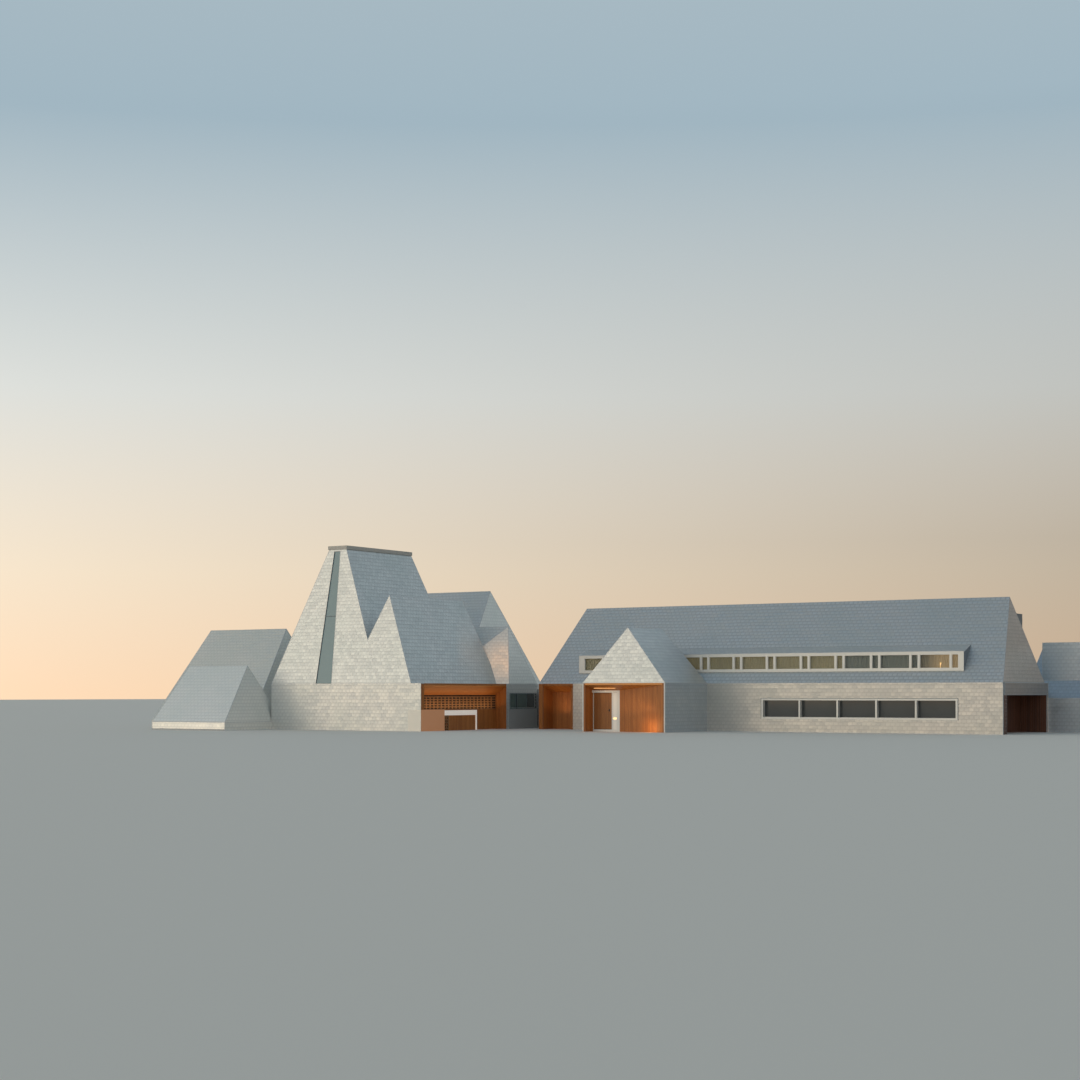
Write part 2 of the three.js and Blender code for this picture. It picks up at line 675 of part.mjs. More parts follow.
function lowGlass(name, y0) {
  const left = lowWindowRightX - (lowWindowCount - 1) * lowWindowPitch - lowWindowPane;
  addPiece(name, block(
    left - frameBar, lowWindowRightX + frameBar, y0, y0 + glassThick,
    lowWindowSillZ - frameBar, lowWindowHeadZ + frameBar), glazing);
}

// The far right house has a raised front wall, level with its ridge
function eastDormer() {
  const faces = [
    { point: [0, eastDormerFaceY, 0], normal: [0, -1, 0] },
    { point: [eastDormerLeftX, 0, 0], normal: [-1, 0, 0] },
    { point: [eastDormerRightX, 0, 0], normal: [1, 0, 0] },
    { point: [0, 0, eastDormerTopZ], normal: [0, 0, 1] },
    { point: [0, eastHouse.ridgeY, 0], normal: [0, 1, 0] },
  ];
  return { outer: hull(faces, 0, eastHouse.eave), inner: hull(faces, -shellThick, eastHouse.eave) };
}

function smallHouse({ name, size, index, raised }) {
  const { leftX, rightX, ridgeY, halfSpan, eave, free } = size;
  const y0 = ridgeY - halfSpan;
  const y1 = ridgeY + halfSpan;
  const room = block(
    leftX + wallThick, rightX - wallThick, y0 + wallThick, y1 - wallThick, -wallThick, eave + wallThick);
  const flashing = block(
    leftX - (free.includes('left') ? flashingProud : 0),
    rightX + (free.includes('right') ? flashingProud : 0),
    y0 - (free.includes('front') ? flashingProud : 0),
    y1 + (free.includes('back') ? flashingProud : 0),
    0, flashingHeight);
  const ring = block(leftX, rightX, y0, y1, 0, eave).add(flashing).subtract(room);
  let { outer, inner } = volumes[index];
  if (raised) {
    outer = outer.add(raised.outer);
    inner = inner.add(raised.inner);
  }
  addPiece(name, trimmed(outer.subtract(inner), index).add(ring), shingle);
}

greatHouse();
addSlabs(side, ['side_gable_front', 'side_gable_back', 'side_left_roof', 'side_right_roof'], shingle);
addSlabs(cross, ['cross_left_gable', 'cross_right_gable', 'cross_front_roof', 'cross_back_roof'], shingle);
wingRoofs();
addPiece('bay_roof', trimmed(volumes[bay].outer.subtract(volumes[bay].inner), bay), shingle);
addSlabs(porch, ['porch_gable', 'porch_back_gable', 'porch_left_roof', 'porch_right_roof'], shingle);
churchBase();
crossBase();
link();
wingBase();
lowGlass('front_low_glass', wallThick + gap);
lowGlass('back_low_glass', wingBaseBackY - wallThick - gap - glassThick);
porchBase();
floors();
smallHouses.forEach(smallHouse);

// Zero at the middle of the footprint, on the ground
const box = new THREE.Box3().setFromObject(model);
const middle = box.getCenter(new THREE.Vector3());
model.position.set(-middle.x, -middle.y, -box.min.z);

export default model;
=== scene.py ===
import math

import bmesh
import bpy
from mathutils import Matrix, Vector
from mathutils.bvhtree import BVHTree


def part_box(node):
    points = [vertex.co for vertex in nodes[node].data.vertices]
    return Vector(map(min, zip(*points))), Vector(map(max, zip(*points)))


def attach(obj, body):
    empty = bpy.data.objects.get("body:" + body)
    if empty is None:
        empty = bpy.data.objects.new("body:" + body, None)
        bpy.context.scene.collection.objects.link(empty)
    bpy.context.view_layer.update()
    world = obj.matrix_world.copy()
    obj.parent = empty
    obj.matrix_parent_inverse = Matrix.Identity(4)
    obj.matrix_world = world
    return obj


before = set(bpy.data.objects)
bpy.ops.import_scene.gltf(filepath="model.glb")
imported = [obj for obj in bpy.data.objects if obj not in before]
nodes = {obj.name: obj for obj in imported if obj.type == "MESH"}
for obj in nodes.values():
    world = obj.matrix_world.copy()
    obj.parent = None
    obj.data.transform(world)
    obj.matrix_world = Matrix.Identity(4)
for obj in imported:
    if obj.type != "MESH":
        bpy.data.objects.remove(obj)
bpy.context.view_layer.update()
scene = bpy.context.scene
compass = {
    "front": Vector((0, -1, 0)),
    "back": Vector((0, 1, 0)),
    "left": Vector((-1, 0, 0)),
    "right": Vector((1, 0, 0)),
}
print("frame loaded:", len(nodes), "nodes")


# Shader building

def newMaterial(name):
    material = bpy.data.materials.new(name)
    material.use_nodes = True
    return material, material.node_tree, material.node_tree.nodes["Principled BSDF"]


def addNode(tree, kind, links=None, **settings):
    node = tree.nodes.new(kind)
    for key, value in settings.items():
        setattr(node, key, value)
    for socket, source in (links or {}).items():
        if isinstance(source, bpy.types.NodeSocket):
            tree.links.new(source, node.inputs[socket])
        else:
            node.inputs[socket].default_value = source
    return node


def newGroup(name, inputs, outputs):
    group = bpy.data.node_groups.new(name, "ShaderNodeTree")
    for socketName, kind in inputs.items():
        group.interface.new_socket(socketName, in_out="INPUT", socket_type=kind)
    for socketName, kind in outputs.items():
        group.interface.new_socket(socketName, in_out="OUTPUT", socket_type=kind)
    return group, group.nodes.new("NodeGroupInput"), group.nodes.new("NodeGroupOutput")


def useGroup(tree, group, **values):
    node = addNode(tree, "ShaderNodeGroup", node_tree=group)
    for socketName, value in values.items():
        node.inputs[socketName].default_value = value
    return node


# Tone, painted shade under the next course's lower edge together with a dark side joint, and small tilt of each laid
# unit, from the map that counts columns and rows
unitGroup, unitIn, unitOut = newGroup(
    "laidUnits",
    {"Tilt": "NodeSocketFloat"},
    {"Tone": "NodeSocketFloat", "LapShade": "NodeSocketFloat", "Normal": "NodeSocketVector"},
)
lapShadeLine = {"upper": 0.45, "side": 0.6, "sideShare": 0.8}  # where in a unit its shaded edges start
unitMap = addNode(unitGroup, "ShaderNodeUVMap", uv_map="courses")
unitCell = addNode(unitGroup, "ShaderNodeVectorMath", {0: unitMap.outputs[0]}, operation="FLOOR")
unitNoise = addNode(
    unitGroup, "ShaderNodeTexWhiteNoise", {"Vector": unitCell.outputs[0]}, noise_dimensions="2D"
)
unitPlace = addNode(unitGroup, "ShaderNodeVectorMath", {0: unitMap.outputs[0]}, operation="FRACTION")
unitAxes = addNode(unitGroup, "ShaderNodeSeparateXYZ", {0: unitPlace.outputs[0]})
unitUpper = addNode(
    unitGroup, "ShaderNodeMapRange", {0: unitAxes.outputs["Y"], 1: lapShadeLine["upper"], 2: 1.0, 3: 0.0, 4: 1.0},
    interpolation_type="SMOOTHSTEP",
)
unitSide = addNode(
    unitGroup, "ShaderNodeMapRange",
    {0: unitAxes.outputs["X"], 1: lapShadeLine["side"], 2: 1.0, 3: 0.0, 4: lapShadeLine["sideShare"]},
    interpolation_type="SMOOTHSTEP",
)
unitLapShade = addNode(
    unitGroup, "ShaderNodeMath", {0: unitUpper.outputs[0], 1: unitSide.outputs[0]}, operation="MAXIMUM"
)
unitCentred = addNode(
    unitGroup, "ShaderNodeVectorMath", {0: unitNoise.outputs["Color"], 1: (0.5, 0.5, 0.5)}, operation="SUBTRACT"
)
unitTilted = addNode(unitGroup, "ShaderNodeVectorMath", {0: unitCentred.outputs[0]}, operation="SCALE")
unitGroup.links.new(unitIn.outputs["Tilt"], unitTilted.inputs["Scale"])
unitGeometry = addNode(unitGroup, "ShaderNodeNewGeometry")
unitSum = addNode(
    unitGroup, "ShaderNodeVectorMath", {0: unitGeometry.outputs["Normal"], 1: unitTilted.outputs[0]}, operation="ADD"
)
unitNormal = addNode(unitGroup, "ShaderNodeVectorMath", {0: unitSum.outputs[0]}, operation="NORMALIZE")
unitGroup.links.new(unitNoise.outputs["Value"], unitOut.inputs["Tone"])
unitGroup.links.new(unitLapShade.outputs[0], unitOut.inputs["LapShade"])
unitGroup.links.new(unitNormal.outputs[0], unitOut.inputs["Normal"])

# Broad weathering over a surface
weatherGroup, weatherIn, weatherOut = newGroup(
    "weathering", {"Size": "NodeSocketFloat"}, {"Mask": "NodeSocketFloat"}
)
weatherCoordinates = addNode(weatherGroup, "ShaderNodeTexCoord")
weatherNoise = addNode(
    weatherGroup, "ShaderNodeTexNoise",
    {"Vector": weatherCoordinates.outputs["Object"], "Detail": 6.0, "Roughness": 0.6},
)
weatherGroup.links.new(weatherIn.outputs["Size"], weatherNoise.inputs["Scale"])
weatherGroup.links.new(weatherNoise.outputs[0], weatherOut.inputs["Mask"])

# Fibres that run along a board
grainGroup, grainIn, grainOut = newGroup(
    "woodGrain", {"Stretch": "NodeSocketVector"}, {"Grain": "NodeSocketFloat"}
)
grainCoordinates = addNode(grainGroup, "ShaderNodeTexCoord")
grainScaled = addNode(
    grainGroup, "ShaderNodeVectorMath", {0: grainCoordinates.outputs["Object"]}, operation="MULTIPLY"
)
grainGroup.links.new(grainIn.outputs["Stretch"], grainScaled.inputs[1])
grainNoise = addNode(
    grainGroup, "ShaderNodeTexNoise", {"Vector": grainScaled.outputs[0], "Scale": 1.0, "Detail": 8.0, "Roughness": 0.62}
)
grainGroup.links.new(grainNoise.outputs[0], grainOut.inputs["Grain"])


def mixColor(tree, factor, first, second):
    node = addNode(tree, "ShaderNodeMix", data_type="RGBA", clamp_factor=True)
    for index, value in ((6, first), (7, second)):
        if isinstance(value, bpy.types.NodeSocket):
            tree.links.new(value, node.inputs[index])
        else:
            node.inputs[index].default_value = (*value, 1)
    tree.links.new(factor, node.inputs[0])
    return node.outputs[2]


# Where broad weathering darkens the shingles, how much at most, and to what share of their dark tone
patina = {"size": 0.55, "start": 0.35, "full": 0.68, "most": 0.45, "share": (0.8, 0.87, 0.86)}
roughnessSpread = (-0.05, 0.07)  # between one shingle and the next


def metalMaterial(name, light, dark, roughness, metallic, tilt, lapShade):
    material, tree, shader = newMaterial(name)
    units = useGroup(tree, unitGroup, Tilt=tilt)
    weather = useGroup(tree, weatherGroup, Size=patina["size"])
    toned = mixColor(tree, units.outputs["Tone"], light, dark)
    # painted shade over the upper part of each shingle, where the next course's lower edge would shade it, with a dark
    # joint at its side
    lapShaded = mixColor(tree, units.outputs["LapShade"], toned, tuple(part * lapShade for part in dark))
    aged = addNode(
        tree, "ShaderNodeMapRange",
        {0: weather.outputs["Mask"], 1: patina["start"], 2: patina["full"], 3: 0.0, 4: patina["most"]},
    )
    old = tuple(part * share for part, share in zip(dark, patina["share"]))
    tree.links.new(mixColor(tree, aged.outputs[0], lapShaded, old), shader.inputs["Base Color"])
    smoothest, roughest = (roughness + spread for spread in roughnessSpread)
    rough = addNode(
        tree, "ShaderNodeMapRange", {0: units.outputs["Tone"], 1: 0.0, 2: 1.0, 3: smoothest, 4: roughest}
    )
    tree.links.new(rough.outputs[0], shader.inputs["Roughness"])
    tree.links.new(units.outputs["Normal"], shader.inputs["Normal"])
    shader.inputs["Metallic"].default_value = metallic
    return material


# How far the fibres of a board darken it, and how deep they are
fibre = {"start": 0.35, "full": 0.7, "most": 0.7, "share": 0.62, "strength": 0.25, "depth": 0.002, "tilt": 0.02}


def boardMaterial(name, light, dark, stretch, roughness):
    material, tree, shader = newMaterial(name)
    units = useGroup(tree, unitGroup, Tilt=fibre["tilt"])
    grain = useGroup(tree, grainGroup, Stretch=stretch)
    toned = mixColor(tree, units.outputs["Tone"], light, dark)
    fibres = addNode(
        tree, "ShaderNodeMapRange",
        {0: grain.outputs["Grain"], 1: fibre["start"], 2: fibre["full"], 3: 0.0, 4: fibre["most"]},
    )
    darker = tuple(part * fibre["share"] for part in dark)
    tree.links.new(mixColor(tree, fibres.outputs[0], toned, darker), shader.inputs["Base Color"])
    bump = addNode(
        tree, "ShaderNodeBump",
        {"Strength": fibre["strength"], "Distance": fibre["depth"], "Height": grain.outputs["Grain"]},
    )
    tree.links.new(bump.outputs[0], shader.inputs["Normal"])
    shader.inputs["Roughness"].default_value = roughness
    return material


mottleSize = 1.6


def plainMaterial(name, color, roughness, metallic=0.0, mottle=0.12, **sockets):
    material, tree, shader = newMaterial(name)
    weather = useGroup(tree, weatherGroup, Size=mottleSize)
    darker = tuple(part * (1 - mottle) for part in color)
    tree.links.new(mixColor(tree, weather.outputs["Mask"], color, darker), shader.inputs["Base Color"])
    shader.inputs["Roughness"].default_value = roughness
    shader.inputs["Metallic"].default_value = metallic
    for socket, value in sockets.items():
        shader.inputs[socket.replace("_", " ")].default_value = value
    return material


def glowingMaterial(name, color, roughness, glowColor, strength, mottle=0.12):
    return plainMaterial(
        name, color, roughness, mottle=mottle, Emission_Color=(*glowColor, 1), Emission_Strength=strength
    )


# A glow that grows along X, as on a curtain beside a lamp
def glowAlong(material, startX, endX, faintest):
    tree = material.node_tree
    shader = tree.nodes["Principled BSDF"]
    strong = tuple(shader.inputs["Emission Color"].default_value)[:3]
    coordinates = addNode(tree, "ShaderNodeTexCoord")
    axes = addNode(tree, "ShaderNodeSeparateXYZ", {0: coordinates.outputs["Object"]})
    growth = addNode(
        tree, "ShaderNodeMapRange", {0: axes.outputs["X"], 1: startX, 2: endX, 3: 0.0, 4: 1.0},
        interpolation_type="SMOOTHSTEP",
    )
    faint = tuple(part * faintest for part in strong)
    tree.links.new(mixColor(tree, growth.outputs[0], faint, strong), shader.inputs["Emission Color"])


# Shingle tones, with what differs from the usual finish; the shaded, fascia, wall and cool tones are darker copies of
# the shingle metal that paint shade on the faces they clad, the two palest tones are lighter copies that paint light,
# and the lap factor sets how dark the painted shade under each course's edge gets
shingleFinish = {"roughness": 0.42, "metallic": 0.75, "tilt": 0.009, "lapShade": 0.87}
shingleTones = {
    "shingle metal": {"light": (0.72, 0.72, 0.70), "dark": (0.68, 0.68, 0.67)},
    "wing shingle metal": {"light": (0.76, 0.76, 0.745), "dark": (0.67, 0.67, 0.66), "tilt": 0.014, "lapShade": 0.76},
    "shaded shingle metal": {"light": (0.67, 0.575, 0.515), "dark": (0.635, 0.545, 0.485)},
    "fascia shade shingle metal": {"light": (0.55, 0.46, 0.405), "dark": (0.52, 0.435, 0.38)},
    "wall shade shingle metal": {"light": (0.63, 0.6, 0.56), "dark": (0.595, 0.565, 0.53)},
    "cool shade shingle metal": {"light": (0.58, 0.625, 0.67), "dark": (0.545, 0.59, 0.635)},
    "warm lit shingle metal": {"light": (0.86, 0.83, 0.76), "dark": (0.82, 0.79, 0.73), "metallic": 0.72},
    "pale lit shingle metal": {"light": (0.97, 0.95, 0.9), "dark": (0.93, 0.91, 0.87), "metallic": 0.7},
}
shingleMetals = {
    name: metalMaterial(name, **{**shingleFinish, **tones}) for name, tones in shingleTones.items()
}

# Smooth and painted metals
edgeMetal = plainMaterial("edge metal", (0.68, 0.68, 0.68), 0.42, 0.7)
capMetal = plainMaterial("cap metal", (0.54, 0.505, 0.455), 0.6, 0.15)
panelMetal = plainMaterial("panel metal", (0.74, 0.72, 0.67), 0.42, 0.5, 0.04)
slateMetal = plainMaterial("slate metal", (0.14, 0.17, 0.2), 0.45, 0.4)
smoothMetal = plainMaterial("smooth metal", (0.55, 0.56, 0.56), 0.4, 0.6)
endMetal = plainMaterial("end metal", (0.28, 0.295, 0.315), 0.4, 0.6)
underMetal = plainMaterial("underlay metal", (0.4, 0.41, 0.42), 0.5, 0.6)
frameMetal = plainMaterial("frame metal", (0.9, 0.86, 0.79), 0.5, 0.15)
whiteMetal = plainMaterial("white metal", (0.8, 0.79, 0.76), 0.5)
darkMetal = plainMaterial("dark metal", (0.03, 0.033, 0.036), 0.4, 0.5)

# Timber and concrete; the grain runs along the axis with the small stretch
grainUp, grainInward = (60.0, 60.0, 2.5), (60.0, 2.5, 60.0)
orangeBoards = boardMaterial("orange boards", (0.52, 0.19, 0.045), (0.38, 0.125, 0.025), grainUp, 0.5)
doorBoards = boardMaterial("door boards", (0.4, 0.16, 0.042), (0.3, 0.11, 0.025), grainUp, 0.5)
soffitBoards = boardMaterial("soffit boards", (0.58, 0.225, 0.045), (0.44, 0.15, 0.027), grainInward, 0.5)
redBoards = boardMaterial("red-brown boards", (0.16, 0.055, 0.025), (0.09, 0.03, 0.014), grainUp, 0.6)
litBoards = glowingMaterial("lit boards", (0.6, 0.24, 0.06), 0.5, (1.0, 0.42, 0.12), 0.14, 0.2)
latticeTimber = plainMaterial("lattice timber", (0.29, 0.14, 0.052), 0.55, mottle=0.3)
plainTimber = plainMaterial("plain timber", (0.4, 0.15, 0.04), 0.6)
darkTimber = plainMaterial("dark timber", (0.035, 0.017, 0.01), 0.7)
concrete = plainMaterial("floor concrete", (0.33, 0.32, 0.31), 0.85)

# Cloth; the curtain and blind cloths glow with painted light, the lit curtain with painted lamplight
glowCurtainCloth = glowingMaterial("curtain cloth with painted glow", (0.4, 0.32, 0.17), 0.9, (0.5, 0.36, 0.14), 0.12, 0.35)
greyCloth = plainMaterial("grey curtain", (0.25, 0.26, 0.23), 0.9, mottle=0.2)
litCloth = glowingMaterial("lit curtain", (0.3, 0.225, 0.13), 0.9, (1.0, 0.6, 0.25), 0.2, 0.2)
glowAlong(litCloth, startX=11.4, endX=11.95, faintest=0.1)
glowBlindCloth = glowingMaterial("blind cloth with painted glow", (0.72, 0.71, 0.68), 0.8, (1.0, 0.86, 0.7), 0.15)

# Glass and lit surfaces; the frosted screen glows with painted backlight and the counter with painted light
slitGlass = plainMaterial(
    "slit glass", (0.17, 0.27, 0.285), 0.06, 0.0, 0.08, Specular_IOR_Level=0.9, Coat_Weight=0.4
)
windowGlass = plainMaterial(
    "window glass", (0.8, 0.84, 0.82), 0.03, 0.0, 0.02, Transmission_Weight=0.92, IOR=1.12, Specular_IOR_Level=0.6
)
darkGlass = plainMaterial("dark glass", (0.04, 0.056, 0.056), 0.05, 0.0, 0.3, Coat_Weight=0.3)
lowGlass = plainMaterial("low glass", (0.095, 0.1, 0.098), 0.05, 0.0, 0.3, Coat_Weight=0.3)
greenGlass = plainMaterial("green glass", (0.1, 0.145, 0.13), 0.08, 0.0, 0.35, Coat_Weight=0.3)
glowFrostedGlass = glowingMaterial("frosted glass with painted backlight", (0.55, 0.28, 0.15), 0.5, (1.0, 0.42, 0.18), 0.12, 0.05)
glowCounterWhite = glowingMaterial("counter white with painted glow", (0.85, 0.8, 0.74), 0.5, (1.0, 0.86, 0.74), 0.28)
lampGlow = glowingMaterial("lamp glow", (1.0, 0.72, 0.38), 0.5, (1.0, 0.62, 0.24), 1.6)
print("materials ready:", len(bpy.data.materials))

cadFinish = {
    "great_cap": capMetal,
    "great_slit_glass": slitGlass,
    "front_dormer_glass": windowGlass,
    "back_dormer_glass": windowGlass,
    "bay_glass": darkGlass,
    "front_low_glass": lowGlass,
    "back_low_glass": lowGlass,
    "porch_side_glass": windowGlass,
    "back_dormer": frameMetal,
    "front_dormer": frameMetal,
    "porch_door_frame": whiteMetal,
    "loggia_soffit": plainTimber,
    "loggia_back_wall": darkTimber,
    "wing_end_lining": plainTimber,
    "wing_corner_lining": plainTimber,
    "porch_lining": plainTimber,
    "porch_door": plainTimber,
    "church_floor": concrete,
    "wing_floor": concrete,
    "wing_upper_floor": concrete,
}
for nodeName, node in nodes.items():
    node.data.materials.clear()
    node.data.materials.append(cadFinish.get(nodeName, underMetal))
print("finishes given to the nodes")


# Pieces

def addPiece(name, bm, material, body="building"):
    mesh = bpy.data.meshes.new(name)
    bm.to_mesh(mesh)
    bm.free()
    mesh.materials.append(material)
    piece = bpy.data.objects.new(name, mesh)
    scene.collection.objects.link(piece)
    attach(piece, body)
    print("piece", name, len(mesh.polygons), "faces")
    return piece


def addBlock(bm, low, high):
    low, high = Vector(low), Vector(high)
    place = Matrix.Translation((low + high) / 2) @ Matrix.Diagonal((*(high - low), 1))
    bmesh.ops.create_cube(bm, size=1, matrix=place)


def addBar(bm, start, end, width, thickness, facing):
    start, end = Vector(start), Vector(end)
    along = (end - start).normalized()
    normal = (Vector(facing) - along * along.dot(Vector(facing))).normalized()
    axes = Matrix((along, normal.cross(along), normal)).transposed().to_4x4()
    size = Matrix.Diagonal(((end - start).length, width, thickness, 1))
    bmesh.ops.create_cube(bm, size=1, matrix=Matrix.Translation((start + end) / 2) @ axes @ size)


def repeatUnits(bm, count, step):
    made = 1
    while made < count:
        copied = bmesh.ops.duplicate(bm, geom=bm.verts[:] + bm.edges[:] + bm.faces[:])["geom"]
        moved = [element for element in copied if isinstance(element, bmesh.types.BMVert)]
        bmesh.ops.translate(bm, verts=moved, vec=Vector(step) * made)
        made *= 2


# What counts as an outer plane of the loose CAD triangles
facade = {
    "weld": 0.00005,
    "under": -0.5, "over": 0.98,  # height of a normal that looks down or up
    "lean": -0.05, "sideways": 0.05, "facing": 0.85,  # and of one that looks to a side, with its turn
    "parallel": 0.9999, "apart": 0.002,  # triangles that share a plane
    "smallest": 0.04, "lowest": 0.1,  # smaller or lower planes stay bare
    "probe": 0.01,  # where the ray starts that finds a piece in front
    "flat": math.radians(1), "squareness": math.radians(60),
}
rimProbe = {"beyond": 0.006, "above": 0.004, "reach": 0.008, "parallel": 0.999}


def looksTo(normal, side):
    if side == "under":
        return normal.z < facade["under"]
    if side == "over":
        return normal.z > facade["over"]
    flat = Vector((normal.x, normal.y, 0))
    if normal.z <= facade["lean"] or flat.length <= facade["sideways"]:
        return False
    return flat.normalized().dot(compass[side]) > facade["facing"]


# Edges where a plane ends, without those where another piece carries it on
def openRims(outline, tree, normal):
    rims = []
    for edge in outline.edges:
        if len(edge.link_loops) == 1:
            loop = edge.link_loops[0]
            start, end = loop.vert.co.copy(), loop.link_loop_next.vert.co.copy()
            outward = -normal.cross((end - start).normalized())
            probe = (start + end) / 2 + outward * rimProbe["beyond"] + normal * rimProbe["above"]
            neighbour = tree.ray_cast(probe, -normal, rimProbe["reach"])[1]
            if neighbour is None or neighbour.dot(normal) < rimProbe["parallel"]:
                rims.append((start, end))
    return rims


# The outer planes of CAD pieces that look to one side, as flat outlines
def facadePlanes(nodeNames, side):
    source = bmesh.new()
    for nodeName in nodeNames.split():
        source.from_mesh(nodes[nodeName].data)
    bmesh.ops.remove_doubles(source, verts=source.verts, dist=facade["weld"])
    source.normal_update()
    source.faces.index_update()
    source.faces.ensure_lookup_table()
    tree = BVHTree.FromBMesh(source)
    groups = []
    for face in source.faces:
        if not looksTo(face.normal, side):
            continue
        offset = face.normal.dot(face.verts[0].co)
        for group in groups:
            sameTurn = group["normal"].dot(face.normal) > facade["parallel"]
            if sameTurn and abs(group["offset"] - offset) < facade["apart"]:
                group["faces"].append(face.index)
                break
        else:
            groups.append({"normal": face.normal.copy(), "offset": offset, "faces": [face.index]})
    planes = []
    for group in groups:
        faces = [source.faces[index] for index in group["faces"]]
        largest = max(faces, key=lambda face: face.calc_area())
        area = sum(face.calc_area() for face in faces)
        start = largest.calc_center_median() + group["normal"] * facade["probe"]
        topZ = max(vert.co.z for face in faces for vert in face.verts)
        covered = tree.ray_cast(start, group["normal"])[0] is not None
        if area < facade["smallest"] or topZ < facade["lowest"] or covered:
            continue
        outline = source.copy()
        outline.faces.index_update()
        unwanted = [face for face in outline.faces if face.index not in group["faces"]]
        bmesh.ops.delete(outline, geom=unwanted, context="FACES")
        bmesh.ops.dissolve_limit(
            outline, angle_limit=facade["flat"], use_dissolve_boundaries=False, verts=outline.verts,
            edges=outline.edges,
        )
        outline.normal_update()
        turnedAway = [face for face in outline.faces if face.normal.dot(group["normal"]) < 0]
        bmesh.ops.reverse_faces(outline, faces=turnedAway)
        rims = openRims(outline, tree, group["normal"])
        triangles = bmesh.ops.triangulate(outline, faces=outline.faces)["faces"]
        bmesh.ops.join_triangles(
            outline, faces=triangles, angle_face_threshold=facade["flat"],
            angle_shape_threshold=facade["squareness"],
        )
        polygons = [[vert.co.copy() for vert in face.verts] for face in outline.faces]
        outline.free()
        planes.append({**group, "rims": rims, "polygons": polygons})
    source.free()
    return planes


# How far a corner may turn back in a convex outline, and how high a normal points when its plane lies level
planeTest = {"turnBack": 1e-9, "levelNormal": 0.99}


def isConvex(flat):
    turns = []
    for before, corner, after in zip(flat[-1:] + flat[:-1], flat, flat[1:] + flat[:1]):
        first, second = corner - before, after - corner
        turns.append(first.x * second.y - first.y * second.x)
    return min(turns) > -planeTest["turnBack"]


# A plane's own axes, with their origin at the level where its first course starts
def planeFrame(plane, levelZ, turned):
    normal = plane["normal"]
    origin = normal * plane["offset"]
    upward = Vector((0, 1, 0))
    if abs(normal.z) < planeTest["levelNormal"]:
        upward = (Vector((0, 0, 1)) - normal * normal.z).normalized()
        origin += upward * ((levelZ - origin.z) / upward.z)
    across = upward.cross(normal)
    if turned:
        across, upward = -upward, across
    return Matrix((across, upward, normal)).transposed().to_4x4(), origin


# The map stays this far inside a unit; cuts merge, and rows are counted, within these distances
laying = {"inside": 0.02, "merge": 0.00001, "rowNudge": 0.0005}


# Units laid in columns and rows over a plane, level with its layout, and cut at its outline
def layUnits(target, plane, layout):
    axes, origin = planeFrame(plane, layout["level"], layout["turned"])
    place = Matrix.Translation(origin) @ axes
    back = place.inverted()
    pitch, course = layout["pitch"], layout["course"]
    least, most = laying["inside"], 1 - laying["inside"]
    for polygon in plane["polygons"]:
        flat = [back @ corner for corner in polygon]
        parts = [flat] if isConvex(flat) else [[flat[0], flat[i], flat[i + 1]] for i in range(1, len(flat) - 1)]
        for part in parts:
            lowX, highX = min(c.x for c in part), max(c.x for c in part)
            lowY, highY = min(c.y for c in part), max(c.y for c in part)
            firstColumn = math.floor(lowX / pitch) - 1
            firstRow = 2 * math.floor(lowY / course / 2)  # even, so that the stagger carries on
            field = layout["unit"].copy()
            bmesh.ops.translate(field, verts=field.verts, vec=(firstColumn * pitch, firstRow * course, 0))
            repeatUnits(field, math.ceil((highX - lowX) / pitch) + 2, (pitch, 0, 0))
            repeatUnits(field, 2, (pitch * layout["stagger"], course, 0))
            repeatUnits(field, math.ceil((highY - firstRow * course) / course / 2), (0, 2 * course, 0))
            for start, end in zip(part, part[1:] + part[:1]):
                along = end - start
                bmesh.ops.bisect_plane(
                    field, geom=field.verts[:] + field.edges[:] + field.faces[:], dist=laying["merge"],
                    plane_co=start, plane_no=(along.y, -along.x, 0), clear_outer=True,
                )
            courses = field.loops.layers.uv.new("courses")
            for face in field.faces:
                centre = face.calc_center_median()
                row = math.floor((centre.y + laying["rowNudge"]) / course)
                shift = layout["stagger"] * (row % 2)
                column = math.floor(centre.x / pitch - shift)
                for loop in face.loops:
                    u = min(max(loop.vert.co.x / pitch - shift - column, least), most)
                    v = min(max(loop.vert.co.y / course - row, least), most)
                    loop[courses].uv = (column + u, row + v)
            bmesh.ops.transform(field, matrix=place, verts=field.verts)
            laid = bpy.data.meshes.new("laid")
            field.to_mesh(laid)
            field.free()
            target.from_mesh(laid)
            bpy.data.meshes.remove(laid)


shingle = {"pitch": 0.165, "wallCourse": 0.1215, "roofCourse": 0.14, "proud": 0.0042}
shingleShape = {"gap": 0.0016, "tuck": 0.0006, "bevel": 0.0022, "foot": 0.001}  # tuck is the upper edge's height
board = {"pitch": 0.06, "length": 8.0, "proud": 0.004, "gap": 0.003, "foot": -0.5}
flatSheet = {"pitch": 0.6, "course": 1.2, "proud": 0.0035}
hiddenNormal = 0.9  # a face that looks this much at the wall, or up its course, is left out


def shingleUnit(pitch, course, proud):
    unit = bmesh.new()
    size = Matrix.Diagonal((pitch - shingleShape["gap"], course, proud, 1))
    bmesh.ops.create_cube(unit, size=1, matrix=Matrix.Translation((pitch / 2, course / 2, proud / 2)) @ size)
    for vert in unit.verts:
        if vert.co.y > course / 2 and vert.co.z > proud / 2:
            vert.co.z = shingleShape["tuck"]
    unit.normal_update()
    hidden = [face for face in unit.faces if face.normal.z < -hiddenNormal or face.normal.y > hiddenNormal]
    bmesh.ops.delete(unit, geom=hidden, context="FACES")
    foot = shingleShape["foot"]
    lower = [edge for edge in unit.edges if all(v.co.y < foot and v.co.z > proud / 2 for v in edge.verts)]
    bmesh.ops.bevel(
        unit, geom=lower, offset=shingleShape["bevel"], segments=1, profile=0.5, affect="EDGES", material=-1
    )
    return unit


